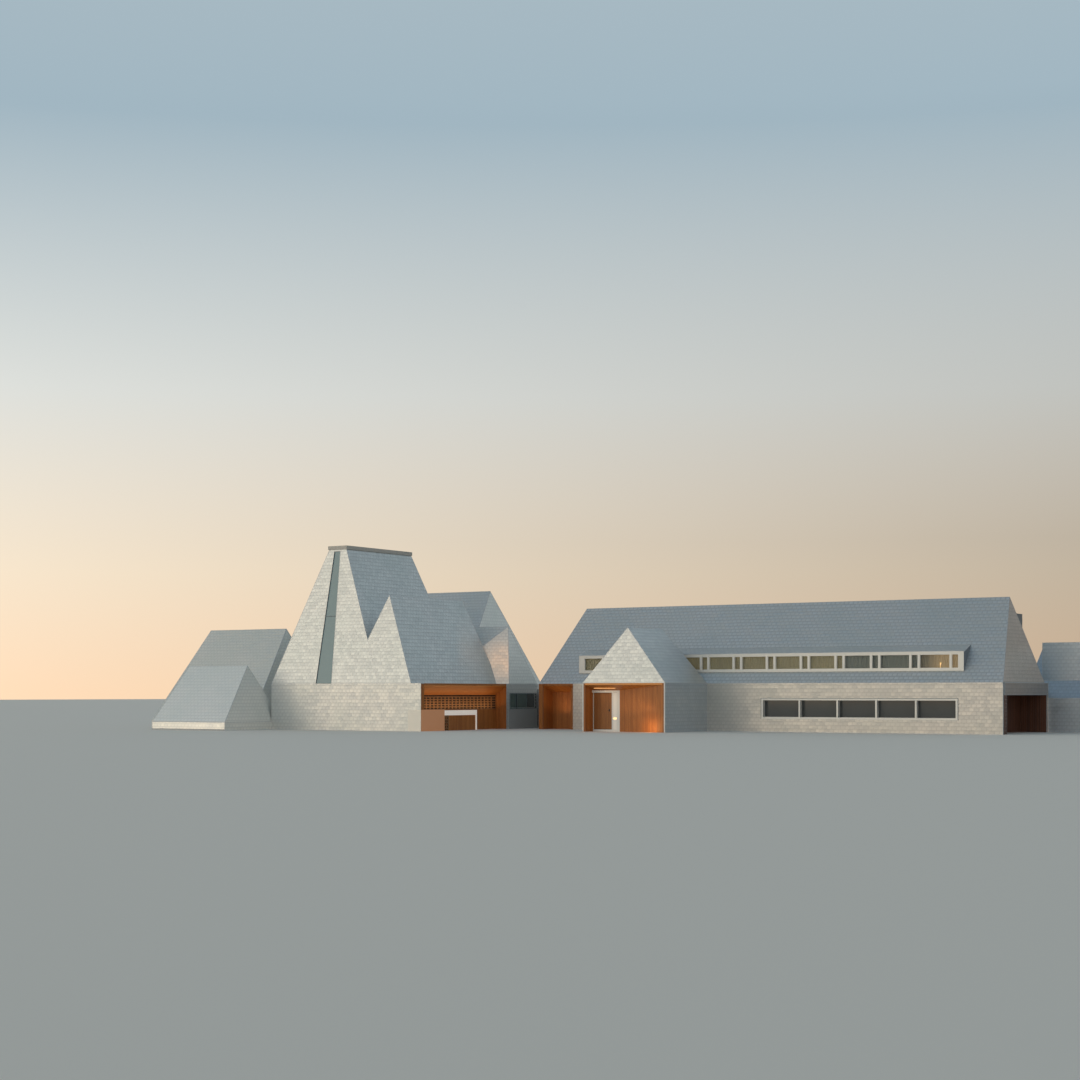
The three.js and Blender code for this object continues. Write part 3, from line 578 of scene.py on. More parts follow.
def boardUnit(pitch, length, proud):
    unit = bmesh.new()
    size = Matrix.Diagonal((pitch - board["gap"], length, proud, 1))
    bmesh.ops.create_cube(unit, size=1, matrix=Matrix.Translation((pitch / 2, length / 2, proud / 2)) @ size)
    unit.normal_update()
    hidden = [face for face in unit.faces if face.normal.z < -hiddenNormal]
    bmesh.ops.delete(unit, geom=hidden, context="FACES")
    return unit


def shingleLayout(pitch, course, proud, level=0.0):
    unit = shingleUnit(pitch, course, proud)
    return {"unit": unit, "pitch": pitch, "course": course, "stagger": 0.5, "turned": False, "level": level}


def boardLayout(pitch, length, proud, level):
    unit = boardUnit(pitch, length, proud)
    return {"unit": unit, "pitch": pitch, "course": length, "stagger": 0.0, "turned": False, "level": level}


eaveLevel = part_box("wing_front_wall")[1].z
wallShingles = shingleLayout(shingle["pitch"], shingle["wallCourse"], shingle["proud"])
roofShingles = shingleLayout(shingle["pitch"], shingle["roofCourse"], shingle["proud"], eaveLevel)
sheetMetal = shingleLayout(flatSheet["pitch"], flatSheet["course"], flatSheet["proud"])
uprightBoards = boardLayout(board["pitch"], board["length"], board["proud"], board["foot"])
lengthwiseBoards = {**uprightBoards, "turned": True}

rim = {"width": 0.009, "proud": 0.0055, "shortest": 0.05}
steepest = 0.3  # a plane that leans less than this upwards takes the courses of a wall


def addRims(bm, plane):
    normal = plane["normal"]
    for start, end in plane["rims"]:
        along = (end - start).normalized()
        shift = normal.cross(along) * (rim["width"] / 2) + normal * (rim["proud"] / 2)
        if (end - start).length > rim["shortest"]:
            addBar(bm, start + shift, end + shift, rim["width"], rim["proud"], normal)


def cladHouse(name, facades, metalName="shingle metal"):
    shingles, rims = bmesh.new(), bmesh.new()
    for nodeNames, sides in facades.items():
        for side in sides.split():
            for plane in facadePlanes(nodeNames, side):
                onWall = abs(plane["normal"].z) < steepest
                layUnits(shingles, plane, wallShingles if onWall else roofShingles)
                addRims(rims, plane)
    addPiece(name + "_shingles", shingles, shingleMetals[metalName])
    addPiece(name + "_edges", rims, edgeMetal)


# Each house's CAD pieces and the sides on which they are clad; the darker shaded, fascia, wall and cool copies of the
# shingle metal paint shade, and the two palest copies paint light
allRound = "front back left right"
cladHouse("great_house", {
    "great_gable_front great_gable_back great_left_roof great_right_roof": allRound,
    "side_gable_front side_gable_back side_left_roof side_right_roof": allRound,
    "church_front_wall": "front left", "church_left_wall": "left", "loggia_end_wall": "right back",
})
crossRoofs = "cross_left_gable cross_right_gable cross_front_roof cross_back_roof"
cladHouse("cross_house", {
    crossRoofs: "front back left", "cross_left_wall": "left front back", "cross_back_wall": "back left right",
    "cross_right_wall": "right", "bay_walls": "right back",
})
cladHouse("cross_end", {crossRoofs: "right", "bay_roof": "right back"}, "pale lit shingle metal")
cladHouse("bay_front", {"bay_roof": "front"}, "warm lit shingle metal")
wingRoofs = "wing_front_roof wing_left_gable wing_right_gable"
cladHouse("wing_front", {wingRoofs: "front left", "wing_left_wall": "left back"}, "wing shingle metal")
cladHouse("wing_walls", {"wing_front_wall": "front"}, "wall shade shingle metal")
cladHouse("wing_end", {wingRoofs: "right"}, "shaded shingle metal")
cladHouse("wing_fascia", {"wing_end_frame": "right back"}, "fascia shade shingle metal")
cladHouse("wing_back", {"wing_back_roof wing_left_gable wing_right_gable": "back", "wing_back_wall": "back"})
cladHouse("porch", {"porch_gable porch_back_gable porch_left_roof porch_right_roof": allRound})
cladHouse("porch_walls", {"porch_left_wall": "left", "porch_right_wall": "right"}, "cool shade shingle metal")
cladHouse("east_house", {"east_house": allRound}, "cool shade shingle metal")
cladHouse("west_back_house", {"west_back_house": allRound}, "warm lit shingle metal")
cladHouse("west_front_house", {"west_front_house": allRound}, "pale lit shingle metal")
cladHouse("link", {"link_passage": "front back"})
print("houses clad")


# Timber boards on the recesses, the porch and the door

def patch(*corners):
    corners = [Vector(corner) for corner in corners]
    normal = (corners[1] - corners[0]).cross(corners[2] - corners[1]).normalized()
    return {"normal": normal, "offset": normal.dot(corners[0]), "polygons": [corners]}


# Upright boards between two points of the plan, under a head that may slope
def boardWall(start, end, foot, head, endHead=None):
    endHead = head if endHead is None else endHead
    return patch((*start, foot), (*end, foot), (*end, endHead), (*start, head)), uprightBoards


def boarded(nodeName, sides, layout):
    return [(plane, layout) for side in sides.split() for plane in facadePlanes(nodeName, side)]


def boardPiece(name, material, planes, body="building"):
    boards = bmesh.new()
    for plane, layout in planes:
        layUnits(boards, plane, layout)
    return addPiece(name, boards, material, body)


liningDepth = 0.075  # of the recess linings in front of the walls behind them
loggiaFront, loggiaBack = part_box("church_front_wall")[1].y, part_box("loggia_end_wall")[0].y
loggiaX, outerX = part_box("loggia_back_wall")[1].x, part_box("loggia_soffit")[1].x
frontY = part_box("church_front_wall")[0].y
cornerX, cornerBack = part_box("wing_left_wall")[1].x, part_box("wing_corner_lining")[1].y - liningDepth
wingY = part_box("wing_front_wall")[0].y
endX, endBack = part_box("wing_end_lining")[0].x + liningDepth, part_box("wing_end_lining")[1].y
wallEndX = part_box("wing_end_frame")[1].x

loggia = {"innerHead": 1.24, "outerHead": 1.575, "edge": 0.006, "belowEave": 0.02}
corner = {"edge": 0.01, "head": 1.57, "backHead": 1.35, "postWidth": 0.175, "postHead": 1.63}
boardPiece("recess_boards", orangeBoards, [
    boardWall((loggiaX, loggiaBack), (outerX, loggiaBack), 0, loggia["innerHead"], loggia["outerHead"]),
    boardWall((outerX, loggiaFront), (loggiaX, loggiaFront), 0, loggia["outerHead"], loggia["innerHead"]),
    boardWall((outerX, frontY + loggia["edge"]), (outerX, loggiaFront), 0, eaveLevel - loggia["belowEave"]),
    boardWall((cornerX, wingY + corner["edge"]), (cornerX, cornerBack), 0, corner["head"], corner["backHead"]),
    *boarded("wing_corner_lining", "front left", uprightBoards),
    boardWall((cornerX - corner["postWidth"], wingY), (cornerX, wingY), 0, corner["postHead"]),
])

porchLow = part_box("porch_lining")[0]
porchWest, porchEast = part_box("porch_left_wall")[0].x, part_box("porch_right_wall")[1].x
porchFront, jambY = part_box("porch_left_wall")[0].y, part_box("porch_door_frame")[0].y
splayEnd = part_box("porch_right_wall")[0].x
porch = {
    "edge": 0.004, "head": 1.57, "backHead": 1.4,
    "postFrom": 0.04, "postTo": 0.102, "postHead": 1.635, "proud": 0.0005,  # posts, in from the side walls
    "jambWidth": 0.042, "jambHead": 1.318,
    "splayBack": (2.443, -2.357), "splayHead": 1.465, "stripFoot": 1.575, "stripProud": 0.0045,
}


# The same strip at both ends of the porch's front, measured in from its side walls
def bothEnds(near, far):
    return (porchWest + near, porchWest + far), (porchEast - far, porchEast - near)


posts = bothEnds(porch["postFrom"], porch["postTo"])
openWest, openEast = posts[0][1], posts[1][0]
postY, doorJambY = porchFront - porch["proud"], jambY - porch["proud"]
boardPiece("porch_boards", orangeBoards, [
    boardWall((porchLow.x, porchLow.y + porch["edge"]), (porchLow.x, jambY), 0, porch["head"], porch["backHead"]),
    *boarded("porch_lining", "front", uprightBoards),
    (patch((*porch["splayBack"], porch["splayHead"]), (splayEnd, porchFront, porch["splayHead"]),
           (splayEnd, porchFront, porch["stripFoot"])), uprightBoards),
    *[boardWall((x0, postY), (x1, postY), 0, porch["postHead"]) for x0, x1 in posts],
    boardWall((openWest, doorJambY), (openWest + porch["jambWidth"], doorJambY), 0, porch["jambHead"]),
])
boardPiece("soffit_boards", soffitBoards, [
    *boarded("loggia_soffit", "under", lengthwiseBoards),
    *boarded("wing_corner_lining", "under", uprightBoards),
    *boarded("porch_lining", "under", uprightBoards),
])
stripY = porchFront - porch["stripProud"]
boardPiece("porch_head_boards", litBoards, [
    boardWall((openWest, stripY), (openEast, stripY), porch["stripFoot"], porch["postHead"]),
])

endRecess = {"head": 1.24, "set": 0.176, "right": 14.12, "left": 13.94, "postFrom": 0.08, "postTo": 0.345}
endY = wingY + endRecess["set"]
postFrom, postTo = wingY + endRecess["postFrom"], wingY + endRecess["postTo"]
boardPiece("end_recess_boards", redBoards, [
    boardWall((endX, endY), (endX, endBack), 0, endRecess["head"]),
    boardWall((endX, endBack), (endRecess["right"], endBack), 0, endRecess["head"]),
    boardWall((wallEndX, postFrom), (wallEndX, postTo), 0, endRecess["head"]),
    boardWall((endRecess["left"], endY), (endX, endY), 0, endRecess["head"]),
    *boarded("wing_end_lining", "under", uprightBoards),
])

doorLow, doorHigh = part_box("porch_door")
leaf = {"edge": 0.001, "foot": 0.0835, "head": 1.309}
leafLeft, leafRight = doorLow.x + leaf["edge"], doorHigh.x - leaf["edge"]
boardPiece("door_boards", doorBoards, [
    boardWall((leafLeft, doorLow.y), (leafRight, doorLow.y), leaf["foot"], leaf["head"]),
], "entrance_door")
handleParts = {  # across the leaf, out from it, and in height
    "plate": ((1.3, 1.335), (0.004, 0.012), (0.68, 0.76)),
    "neck": ((1.31, 1.322), (0.012, 0.034), (0.715, 0.727)),
    "lever": ((1.255, 1.322), (0.028, 0.038), (0.715, 0.727)),
}
handle = bmesh.new()
for (x0, x1), (near, far), (z0, z1) in handleParts.values():
    addBlock(handle, (x0, doorLow.y - far, z0), (x1, doorLow.y - near, z1))
addPiece("door_handle", handle, darkMetal, "entrance_door")
print("recesses, porch and door boarded")

# Lattice, counter and screen in the loggia
lattice = {
    "foot": 0.73, "head": 1.17, "rails": 6, "railHalf": 0.018, "railDepth": 0.024,
    "firstBar": 0.06, "pitch": 0.223, "barWidth": 0.065, "barDepth": 0.02, "frontGap": 0.002, "backGap": 0.006,
}
counter = {  # along the loggia, in height, and in from its outer edge
    "front": -3.91, "back": -1.9, "overhang": 0.005, "foot": 0.53, "top": 0.705, "leg": 0.06,
    "near": 0.02, "far": 0.08, "panelNear": 0.05, "panelFar": 0.075,
}
sideLattice = {
    "width": 0.3, "rails": 5, "firstRail": 0.06, "railPitch": 0.1, "bars": 3, "barPitch": 0.1275, "thick": 0.045,
    "inner": 0.07, "railOuter": 0.03, "barOuter": 0.035,
}
latticeBars = bmesh.new()
railPitch = (lattice["head"] - lattice["foot"]) / (lattice["rails"] - 1)
for row in range(lattice["rails"]):
    z = lattice["foot"] + row * railPitch
    addBlock(latticeBars, (loggiaX, loggiaFront + lattice["frontGap"], z - lattice["railHalf"]),
             (loggiaX + lattice["railDepth"], loggiaBack - lattice["backGap"], z + lattice["railHalf"]))
for column in range(int((loggiaBack - loggiaFront) / lattice["pitch"])):
    y = loggiaFront + lattice["firstBar"] + column * lattice["pitch"]
    addBlock(latticeBars, (loggiaX, y, lattice["foot"]),
             (loggiaX + lattice["barDepth"], y + lattice["barWidth"], lattice["head"]))
sideLatticeEnd = counter["front"] + sideLattice["width"]
for row in range(sideLattice["rails"]):
    z = sideLattice["firstRail"] + row * sideLattice["railPitch"]
    addBlock(latticeBars, (outerX - sideLattice["inner"], counter["front"], z),
             (outerX - sideLattice["railOuter"], sideLatticeEnd, z + sideLattice["thick"]))
for column in range(sideLattice["bars"]):
    y = counter["front"] + column * sideLattice["barPitch"]
    addBlock(latticeBars, (outerX - sideLattice["inner"], y, 0),
             (outerX - sideLattice["barOuter"], y + sideLattice["thick"], counter["foot"]))
addPiece("loggia_lattice", latticeBars, latticeTimber)

lowerBoardHead = 0.72
panelNear, panelFar = outerX - counter["panelNear"], outerX - counter["panelFar"]
boardPiece("loggia_lower_boards", orangeBoards, [
    boardWall((loggiaX, loggiaFront), (loggiaX, loggiaBack), 0, lowerBoardHead),
    boardWall((panelNear, sideLatticeEnd), (panelNear, counter["back"]), 0, counter["foot"]),
])
counterNear, counterFar = outerX - counter["near"], outerX - counter["far"]
legFront = counter["back"] - counter["leg"]
counterBlocks = bmesh.new()
addBlock(counterBlocks, (counterFar, counter["front"] - counter["overhang"], counter["foot"]),
         (counterNear, counter["back"], counter["top"]))
addBlock(counterBlocks, (counterFar, legFront, 0), (counterNear, counter["back"], counter["foot"]))
addPiece("loggia_counter", counterBlocks, glowCounterWhite)
counterBack = bmesh.new()
addBlock(counterBack, (panelFar, sideLatticeEnd, 0), (panelNear, legFront, counter["foot"]))
addPiece("loggia_counter_back", counterBack, plainTimber)

screen = {"head": 0.735, "from": 0.001, "to": 0.007, "edge": 0.006, "counterGap": 0.01, "panelWidth": 0.55}
litScreen = bmesh.new()
addBlock(litScreen, (outerX + screen["from"], frontY + screen["edge"], 0),
         (outerX + screen["to"], counter["front"] - screen["counterGap"], screen["head"]))
addPiece("loggia_screen", litScreen, glowFrostedGlass)
frontPanel = bmesh.new()
addBlock(frontPanel, (outerX - screen["panelWidth"], frontY - screen["to"], 0),
         (outerX, frontY - screen["from"], screen["head"]))
addPiece("church_front_panel", frontPanel, panelMetal)
print("loggia furnished")

# Bay window: a glazed band that runs flush over the whole bay wall, on a plinth
bay = {
    "foot": 0.715, "head": 1.3, "bar": 0.016, "edges": (0.165, 0.56, 0.66, 1.3, 1.985), "greenPanes": (0, 2),
    "behind": 0.001, "paneProud": 0.004, "barProud": 0.007, "plinthY": (0.135, 2.02), "plinthDepth": 0.02,
}
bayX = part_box("bay_walls")[1].x
bayBack, paneX, barX = bayX + bay["behind"], bayX + bay["paneProud"], bayX + bay["barProud"]
bayLeft, bayRight = bay["edges"][0], bay["edges"][-1]
bayFrame, bayPanes, greenPanes = bmesh.new(), bmesh.new(), bmesh.new()
for index, (y0, y1) in enumerate(zip(bay["edges"], bay["edges"][1:])):
    addBlock(bayFrame, (bayBack, y0, bay["foot"]), (barX, y0 + bay["bar"], bay["head"]))
    panes = greenPanes if index in bay["greenPanes"] else bayPanes
    addBlock(panes, (bayBack, y0 + bay["bar"], bay["foot"] + bay["bar"]), (paneX, y1, bay["head"] - bay["bar"]))
addBlock(bayFrame, (bayBack, bayRight, bay["foot"]), (barX, bayRight + bay["bar"], bay["head"]))
for z in (bay["foot"], bay["head"] - bay["bar"]):
    addBlock(bayFrame, (bayBack, bayLeft + bay["bar"], z), (barX, bayRight, z + bay["bar"]))
addPiece("bay_window_frame", bayFrame, slateMetal)
addPiece("bay_window_panes", bayPanes, darkGlass)
addPiece("bay_green_panes", greenPanes, greenGlass)
bayPlinth = bmesh.new()
addBlock(bayPlinth, (bayX - bay["plinthDepth"], bay["plinthY"][0], 0), (barX, bay["plinthY"][1], bay["foot"]))
addPiece("bay_plinth", bayPlinth, concrete)

# Joints between the sheets of the cap
capJoint = {"height": 0.13, "sheets": 8, "half": 0.006, "proud": 0.003, "belowTop": 0.001}
capLow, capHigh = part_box("great_cap")
capFoot, capTop = capHigh.z - capJoint["height"], capHigh.z - capJoint["belowTop"]
half, proud = capJoint["half"], capJoint["proud"]
capJoints = bmesh.new()
for side in (capLow.x, capHigh.x):
    for index in range(1, capJoint["sheets"]):
        y = capLow.y + index * (capHigh.y - capLow.y) / capJoint["sheets"]
        addBlock(capJoints, (side - proud, y - half, capFoot), (side + proud, y + half, capTop))
middleX = (capLow.x + capHigh.x) / 2
for side in (capLow.y, capHigh.y):
    addBlock(capJoints, (middleX - half, side - proud, capFoot), (middleX + half, side + proud, capTop))
addPiece("cap_joints", capJoints, smoothMetal)

# Slit window in the leaning gable: two bars that draw together, one across, and the pane
slit = {
    "lean": 0.165, "foot": 0.005, "barTop": 6.345, "barRise": 4.705, "barBack": 0.008, "barWidth": 0.006,
    "bars": {"left": (-8.862, -8.642, 0.035), "right": (-8.182, -8.397, 0.012)},  # X at foot and top, depth
    "crossZ": 4.025, "crossX": (-8.765, -8.288), "crossHalf": 0.01, "crossBack": 0.002, "crossDepth": 0.02,
    "paneFoot": (-8.868, -8.187), "paneTop": (-8.648, -8.402), "paneHead": 6.34, "paneBack": 0.014,
}


def slitPoint(x, z, back):
    return x, frontY + slit["lean"] * (z - eaveLevel) + back, z


slitFrame = bmesh.new()
slitFoot = eaveLevel + slit["foot"]
crossY = slitPoint(0, slit["crossZ"], slit["crossBack"])[1]
addBlock(slitFrame, (slit["crossX"][0], crossY, slit["crossZ"] - slit["crossHalf"]),
         (slit["crossX"][1], crossY + slit["crossDepth"], slit["crossZ"] + slit["crossHalf"]))
barY = frontY + slit["barBack"]
for footX, topX, depth in slit["bars"].values():
    barEnd = (topX, barY + slit["lean"] * slit["barRise"], slit["barTop"])
    addBar(slitFrame, (footX, barY, slitFoot), barEnd, slit["barWidth"], depth, compass["front"])
addPiece("slit_frame", slitFrame, slateMetal)
(footLeft, footRight), (topLeft, topRight) = slit["paneFoot"], slit["paneTop"]
paneCorners = (footLeft, slitFoot), (footRight, slitFoot), (topRight, slit["paneHead"]), (topLeft, slit["paneHead"])
paneSheet = {"size": 20.0, "proud": 0.004, "level": -2.0}  # wider than the pane, so that one unit covers it
wholeSheet = boardLayout(paneSheet["size"], paneSheet["size"], paneSheet["proud"], paneSheet["level"])
slitPane = bmesh.new()
layUnits(slitPane, patch(*[slitPoint(x, z, slit["paneBack"]) for x, z in paneCorners]), wholeSheet)
addPiece("slit_pane", slitPane, slitGlass)
print("bay window, cap and slit window made")

# Porch trims, the blind beside the door and the lamps
trim = {"from": 0.002, "to": 0.038, "head": 1.63, "proud": 0.006}
edgeTrims = bmesh.new()
for x0, x1 in bothEnds(trim["from"], trim["to"]):
    addBlock(edgeTrims, (x0, porchFront - trim["proud"], 0), (x1, postY, trim["head"]))
addPiece("porch_edge_trims", edgeTrims, whiteMetal)
blindSize = {"near": 0.002, "far": 0.006, "head": 1.315}
glassLow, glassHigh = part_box("porch_side_glass")
blind = bmesh.new()
addBlock(blind, (glassLow.x, glassLow.y - blindSize["far"], glassLow.z),
         (glassHigh.x, glassLow.y - blindSize["near"], blindSize["head"]))
addPiece("porch_side_blind", blind, glowBlindCloth)
lampBlocks = {  # lowest and highest corner
    "wall lamp": ((1.49, -2.182, 0.42), (1.61, -2.177, 0.475)),
    "soffit lamp": ((0.85, -2.40, 1.462), (1.675, -2.36, 1.468)),
}
porchLamps = bmesh.new()
for low, high in lampBlocks.values():
    addBlock(porchLamps, low, high)
addPiece("porch_lamps", porchLamps, lampGlow)

# Dormer windows: a wide and a small pane in each bay, counted from the right end
dormer = {
    "right": 12.57, "smallPane": 0.21, "mullion": 0.0775, "bays": [1.3575] * 2 + [1.2525] * 9, "bar": 0.006,
    "sashNear": 0.012, "sashFar": 0.06, "frontZ": (2.11, 2.54), "backZ": (3.09, 3.62),
}
curtain = {
    "overlap": 0.03, "behind": 0.135, "depth": 0.006, "wideFolds": 10, "smallFolds": 3, "foldSegments": 4,
    "frontZ": (2.105, 2.54), "backZ": (3.06, 3.62), "litPanes": 2, "greyPanes": 6,
}


def dormerPanes():
    right = dormer["right"]
    for width in dormer["bays"]:
        yield right - dormer["smallPane"], right
        yield right - width + dormer["mullion"], right - dormer["smallPane"] - dormer["mullion"]
        right -= width


def sash(bm, x0, x1, z0, z1, y0, y1, bar):
    addBlock(bm, (x0, y0, z0), (x0 + bar, y1, z1))
    addBlock(bm, (x1 - bar, y0, z0), (x1, y1, z1))
    addBlock(bm, (x0 + bar, y0, z0), (x1 - bar, y1, z0 + bar))
    addBlock(bm, (x0 + bar, y0, z1 - bar), (x1 - bar, y1, z1))


def curtainSheet(bm, x0, x1, z0, z1, y, depth, folds):
    sheet = bmesh.new()
    bmesh.ops.create_grid(sheet, x_segments=folds * curtain["foldSegments"], y_segments=1, size=0.5)
    for vert in sheet.verts:
        wave = math.sin((vert.co.x + 0.5) * folds * 2 * math.pi)
        vert.co = (x0 + (vert.co.x + 0.5) * (x1 - x0), y + depth * wave, z0 + (vert.co.y + 0.5) * (z1 - z0))
    hung = bpy.data.meshes.new("hung")
    sheet.to_mesh(hung)
    sheet.free()
    bm.from_mesh(hung)
    bpy.data.meshes.remove(hung)


frontSashes, backSashes, curtains = bmesh.new(), bmesh.new(), bmesh.new()
litCurtain, greyCurtains, backCurtains = bmesh.new(), bmesh.new(), bmesh.new()
frontLow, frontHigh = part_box("front_dormer")
backLow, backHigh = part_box("back_dormer")
frontFace, backFace = frontLow.y, backHigh.y
near, far, bar = dormer["sashNear"], dormer["sashFar"], dormer["bar"]
for index, (x0, x1) in enumerate(dormerPanes()):
    sash(frontSashes, x0, x1, *dormer["frontZ"], frontFace + near, frontFace + far, bar)
    sash(backSashes, x0, x1, *dormer["backZ"], backFace - far, backFace - near, bar)
    cloth = litCurtain if index < curtain["litPanes"] else greyCurtains if index < curtain["greyPanes"] else curtains
    folds = curtain["wideFolds"] if index % 2 else curtain["smallFolds"]
    left, right = x0 - curtain["overlap"], x1 + curtain["overlap"]
    curtainSheet(cloth, left, right, *curtain["frontZ"], frontFace + curtain["behind"], curtain["depth"], folds)
    curtainSheet(backCurtains, left, right, *curtain["backZ"], backFace - curtain["behind"], curtain["depth"], folds)
addPiece("front_dormer_sashes", frontSashes, frameMetal)
addPiece("back_dormer_sashes", backSashes, frameMetal)
addPiece("front_dormer_curtains", curtains, glowCurtainCloth)
addPiece("front_dormer_lit_curtain", litCurtain, litCloth)
addPiece("front_dormer_grey_curtains", greyCurtains, greyCloth)
addPiece("back_dormer_curtains", backCurtains, glowCurtainCloth)

tableLamp = {
    "x": 11.94, "behind": 0.117,
    "shade": {"segments": 16, "radius1": 0.011, "radius2": 0.008, "depth": 0.07}, "shadeZ": 2.25,
    "stem": {"segments": 12, "radius1": 0.006, "radius2": 0.006, "depth": 0.14}, "stemZ": 2.16,
}
lampShape = bmesh.new()
for part in ("shade", "stem"):
    place = Matrix.Translation((tableLamp["x"], frontFace + tableLamp["behind"], tableLamp[part + "Z"]))
    bmesh.ops.create_cone(lampShape, **tableLamp[part], matrix=place)
addPiece("table_lamp", lampShape, lampGlow)

# Shingles on the dormers' roofs, smooth metal on their ends and on the flat tops
dormerRoofs, dormerEnds, flatTops = bmesh.new(), bmesh.new(), bmesh.new()
for nodeName, side in (("front_dormer", "front"), ("back_dormer", "back")):
    for plane in facadePlanes(nodeName, side):
        if plane["normal"].z > steepest:
            layUnits(dormerRoofs, plane, roofShingles)
    for plane in facadePlanes(nodeName, "left") + facadePlanes(nodeName, "right"):
        layUnits(dormerEnds, plane, sheetMetal)
for nodeName in ("wing_back_wall", "link_passage"):
    for plane in facadePlanes(nodeName, "over"):
        layUnits(flatTops, plane, sheetMetal)
addPiece("dormer_roof_shingles", dormerRoofs, shingleMetals["shingle metal"])
addPiece("dormer_end_sheets", dormerEnds, endMetal)
addPiece("flat_top_sheets", flatTops, smoothMetal)

# The back dormer's upstand, and the head board and drip edges over the dormer windows
upstandSize = {"edge": 0.002, "foot": 0.2, "deck": 0.06, "top": 0.03, "thick": 0.02, "set": 0.12, "endSet": 0.2}
upstandFoot, deckZ = backHigh.z - upstandSize["foot"], backHigh.z - upstandSize["deck"]
upstandLeft, upstandBack = backLow.x + upstandSize["edge"], backFace - upstandSize["thick"]
upstand = bmesh.new()
addBlock(upstand, (upstandLeft, backLow.y + upstandSize["set"], deckZ),
         (backHigh.x, backFace, backHigh.z - upstandSize["top"]))
addBlock(upstand, (upstandLeft, upstandBack, upstandFoot), (backHigh.x, backFace, deckZ))
addBlock(upstand, (backHigh.x - upstandSize["thick"], backLow.y + upstandSize["endSet"], upstandFoot),
         (backHigh.x, upstandBack, deckZ))
addPiece("back_dormer_upstand", upstand, endMetal)
drip = {"side": 0.004, "out": 0.008, "in": 0.03, "frontZ": (2.636, 2.644), "backZ": (3.743, 3.751)}
dripEdges = bmesh.new()
addBlock(dripEdges, (frontLow.x - drip["side"], frontFace - drip["out"], drip["frontZ"][0]),
         (frontHigh.x + drip["side"], frontFace + drip["in"], drip["frontZ"][1]))
addBlock(dripEdges, (backLow.x - drip["side"], backFace - drip["in"], drip["backZ"][0]),
         (backHigh.x, backFace + drip["out"], drip["backZ"][1]))
addPiece("dormer_drip_edges", dripEdges, edgeMetal)
headBoardSize = {"foot": 2.6, "out": 0.004, "in": 0.02}
headBoard = bmesh.new()
addBlock(headBoard, (frontLow.x, frontFace - headBoardSize["out"], headBoardSize["foot"]),
         (frontHigh.x, frontFace + headBoardSize["in"], drip["frontZ"][0]))
addPiece("front_dormer_head_board", headBoard, frameMetal)
print("dormers made")

# Low window rows: a proud light frame, a dark line around it that paints the shadow gap at its edge, and thin sashes
lowRow = {
    "right": 12.585, "pane": 1.3, "pitch": 1.36, "count": 5, "frameZ": (0.44, 0.497, 1.068, 1.125),
    "side": 0.07, "proud": 0.011, "line": 0.012, "lineHeight": 0.014, "lineProud": 0.016,
    "sashZ": (0.5, 1.065), "sashBar": 0.006, "sashNear": -0.06, "sashFar": -0.09,
}
footZ, sillZ, headZ, topZ = lowRow["frameZ"]
paneWidth, panePitch, lowRight = lowRow["pane"], lowRow["pitch"], lowRow["right"]
lowLeft = lowRight - (lowRow["count"] - 1) * panePitch - paneWidth
outerLeft, outerRight = lowLeft - lowRow["side"], lowRight + lowRow["side"]
lineLeft, lineRight = outerLeft - lowRow["line"], outerRight + lowRow["line"]


# From a wall's face outwards, as the lower and the higher Y
def reach(face, out, near, far):
    return sorted((face + out * near, face + out * far))


lowFrames, lowLines = bmesh.new(), bmesh.new()
for face, out in ((wingY, -1), (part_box("wing_back_wall")[1].y, 1)):
    y0, y1 = reach(face, out, 0.0, lowRow["proud"])
    addBlock(lowFrames, (outerLeft, y0, headZ), (outerRight, y1, topZ))
    addBlock(lowFrames, (outerLeft, y0, footZ), (outerRight, y1, sillZ))
    addBlock(lowFrames, (outerLeft, y0, sillZ), (lowLeft, y1, headZ))
    addBlock(lowFrames, (lowRight, y0, sillZ), (outerRight, y1, headZ))
    sashY = reach(face, out, lowRow["sashFar"], lowRow["sashNear"])
    for index in range(lowRow["count"]):
        right = lowRight - index * panePitch
        if index:
            addBlock(lowFrames, (right, y0, sillZ), (right + panePitch - paneWidth, y1, headZ))
        sash(lowFrames, right - paneWidth, right, *lowRow["sashZ"], *sashY, lowRow["sashBar"])
    # dark lines above and beside the frame, painted shadow of its proud edge
    y0, y1 = reach(face, out, 0.0, lowRow["lineProud"])
    addBlock(lowLines, (lineLeft, y0, topZ), (lineRight, y1, topZ + lowRow["lineHeight"]))
    addBlock(lowLines, (outerRight, y0, footZ), (lineRight, y1, topZ))
    addBlock(lowLines, (lineLeft, y0, footZ), (outerLeft, y1, topZ))
addPiece("low_window_frames", lowFrames, frameMetal)
addPiece("low_window_shadow_lines", lowLines, slateMetal)
print("low windows made")

# Floor
floorLook = {"halfSize": 260, "color": (0.84, 0.77, 0.68), "roughness": 0.9}
floorMesh = bmesh.new()
bmesh.ops.create_grid(floorMesh, x_segments=1, y_segments=1, size=floorLook["halfSize"])
floor = bpy.data.objects.new("floor", bpy.data.meshes.new("floor"))
floorMesh.to_mesh(floor.data)
floorMesh.free()
floor.data.materials.append(plainMaterial("floor", floorLook["color"], floorLook["roughness"], mottle=0.0))
scene.collection.objects.link(floor)

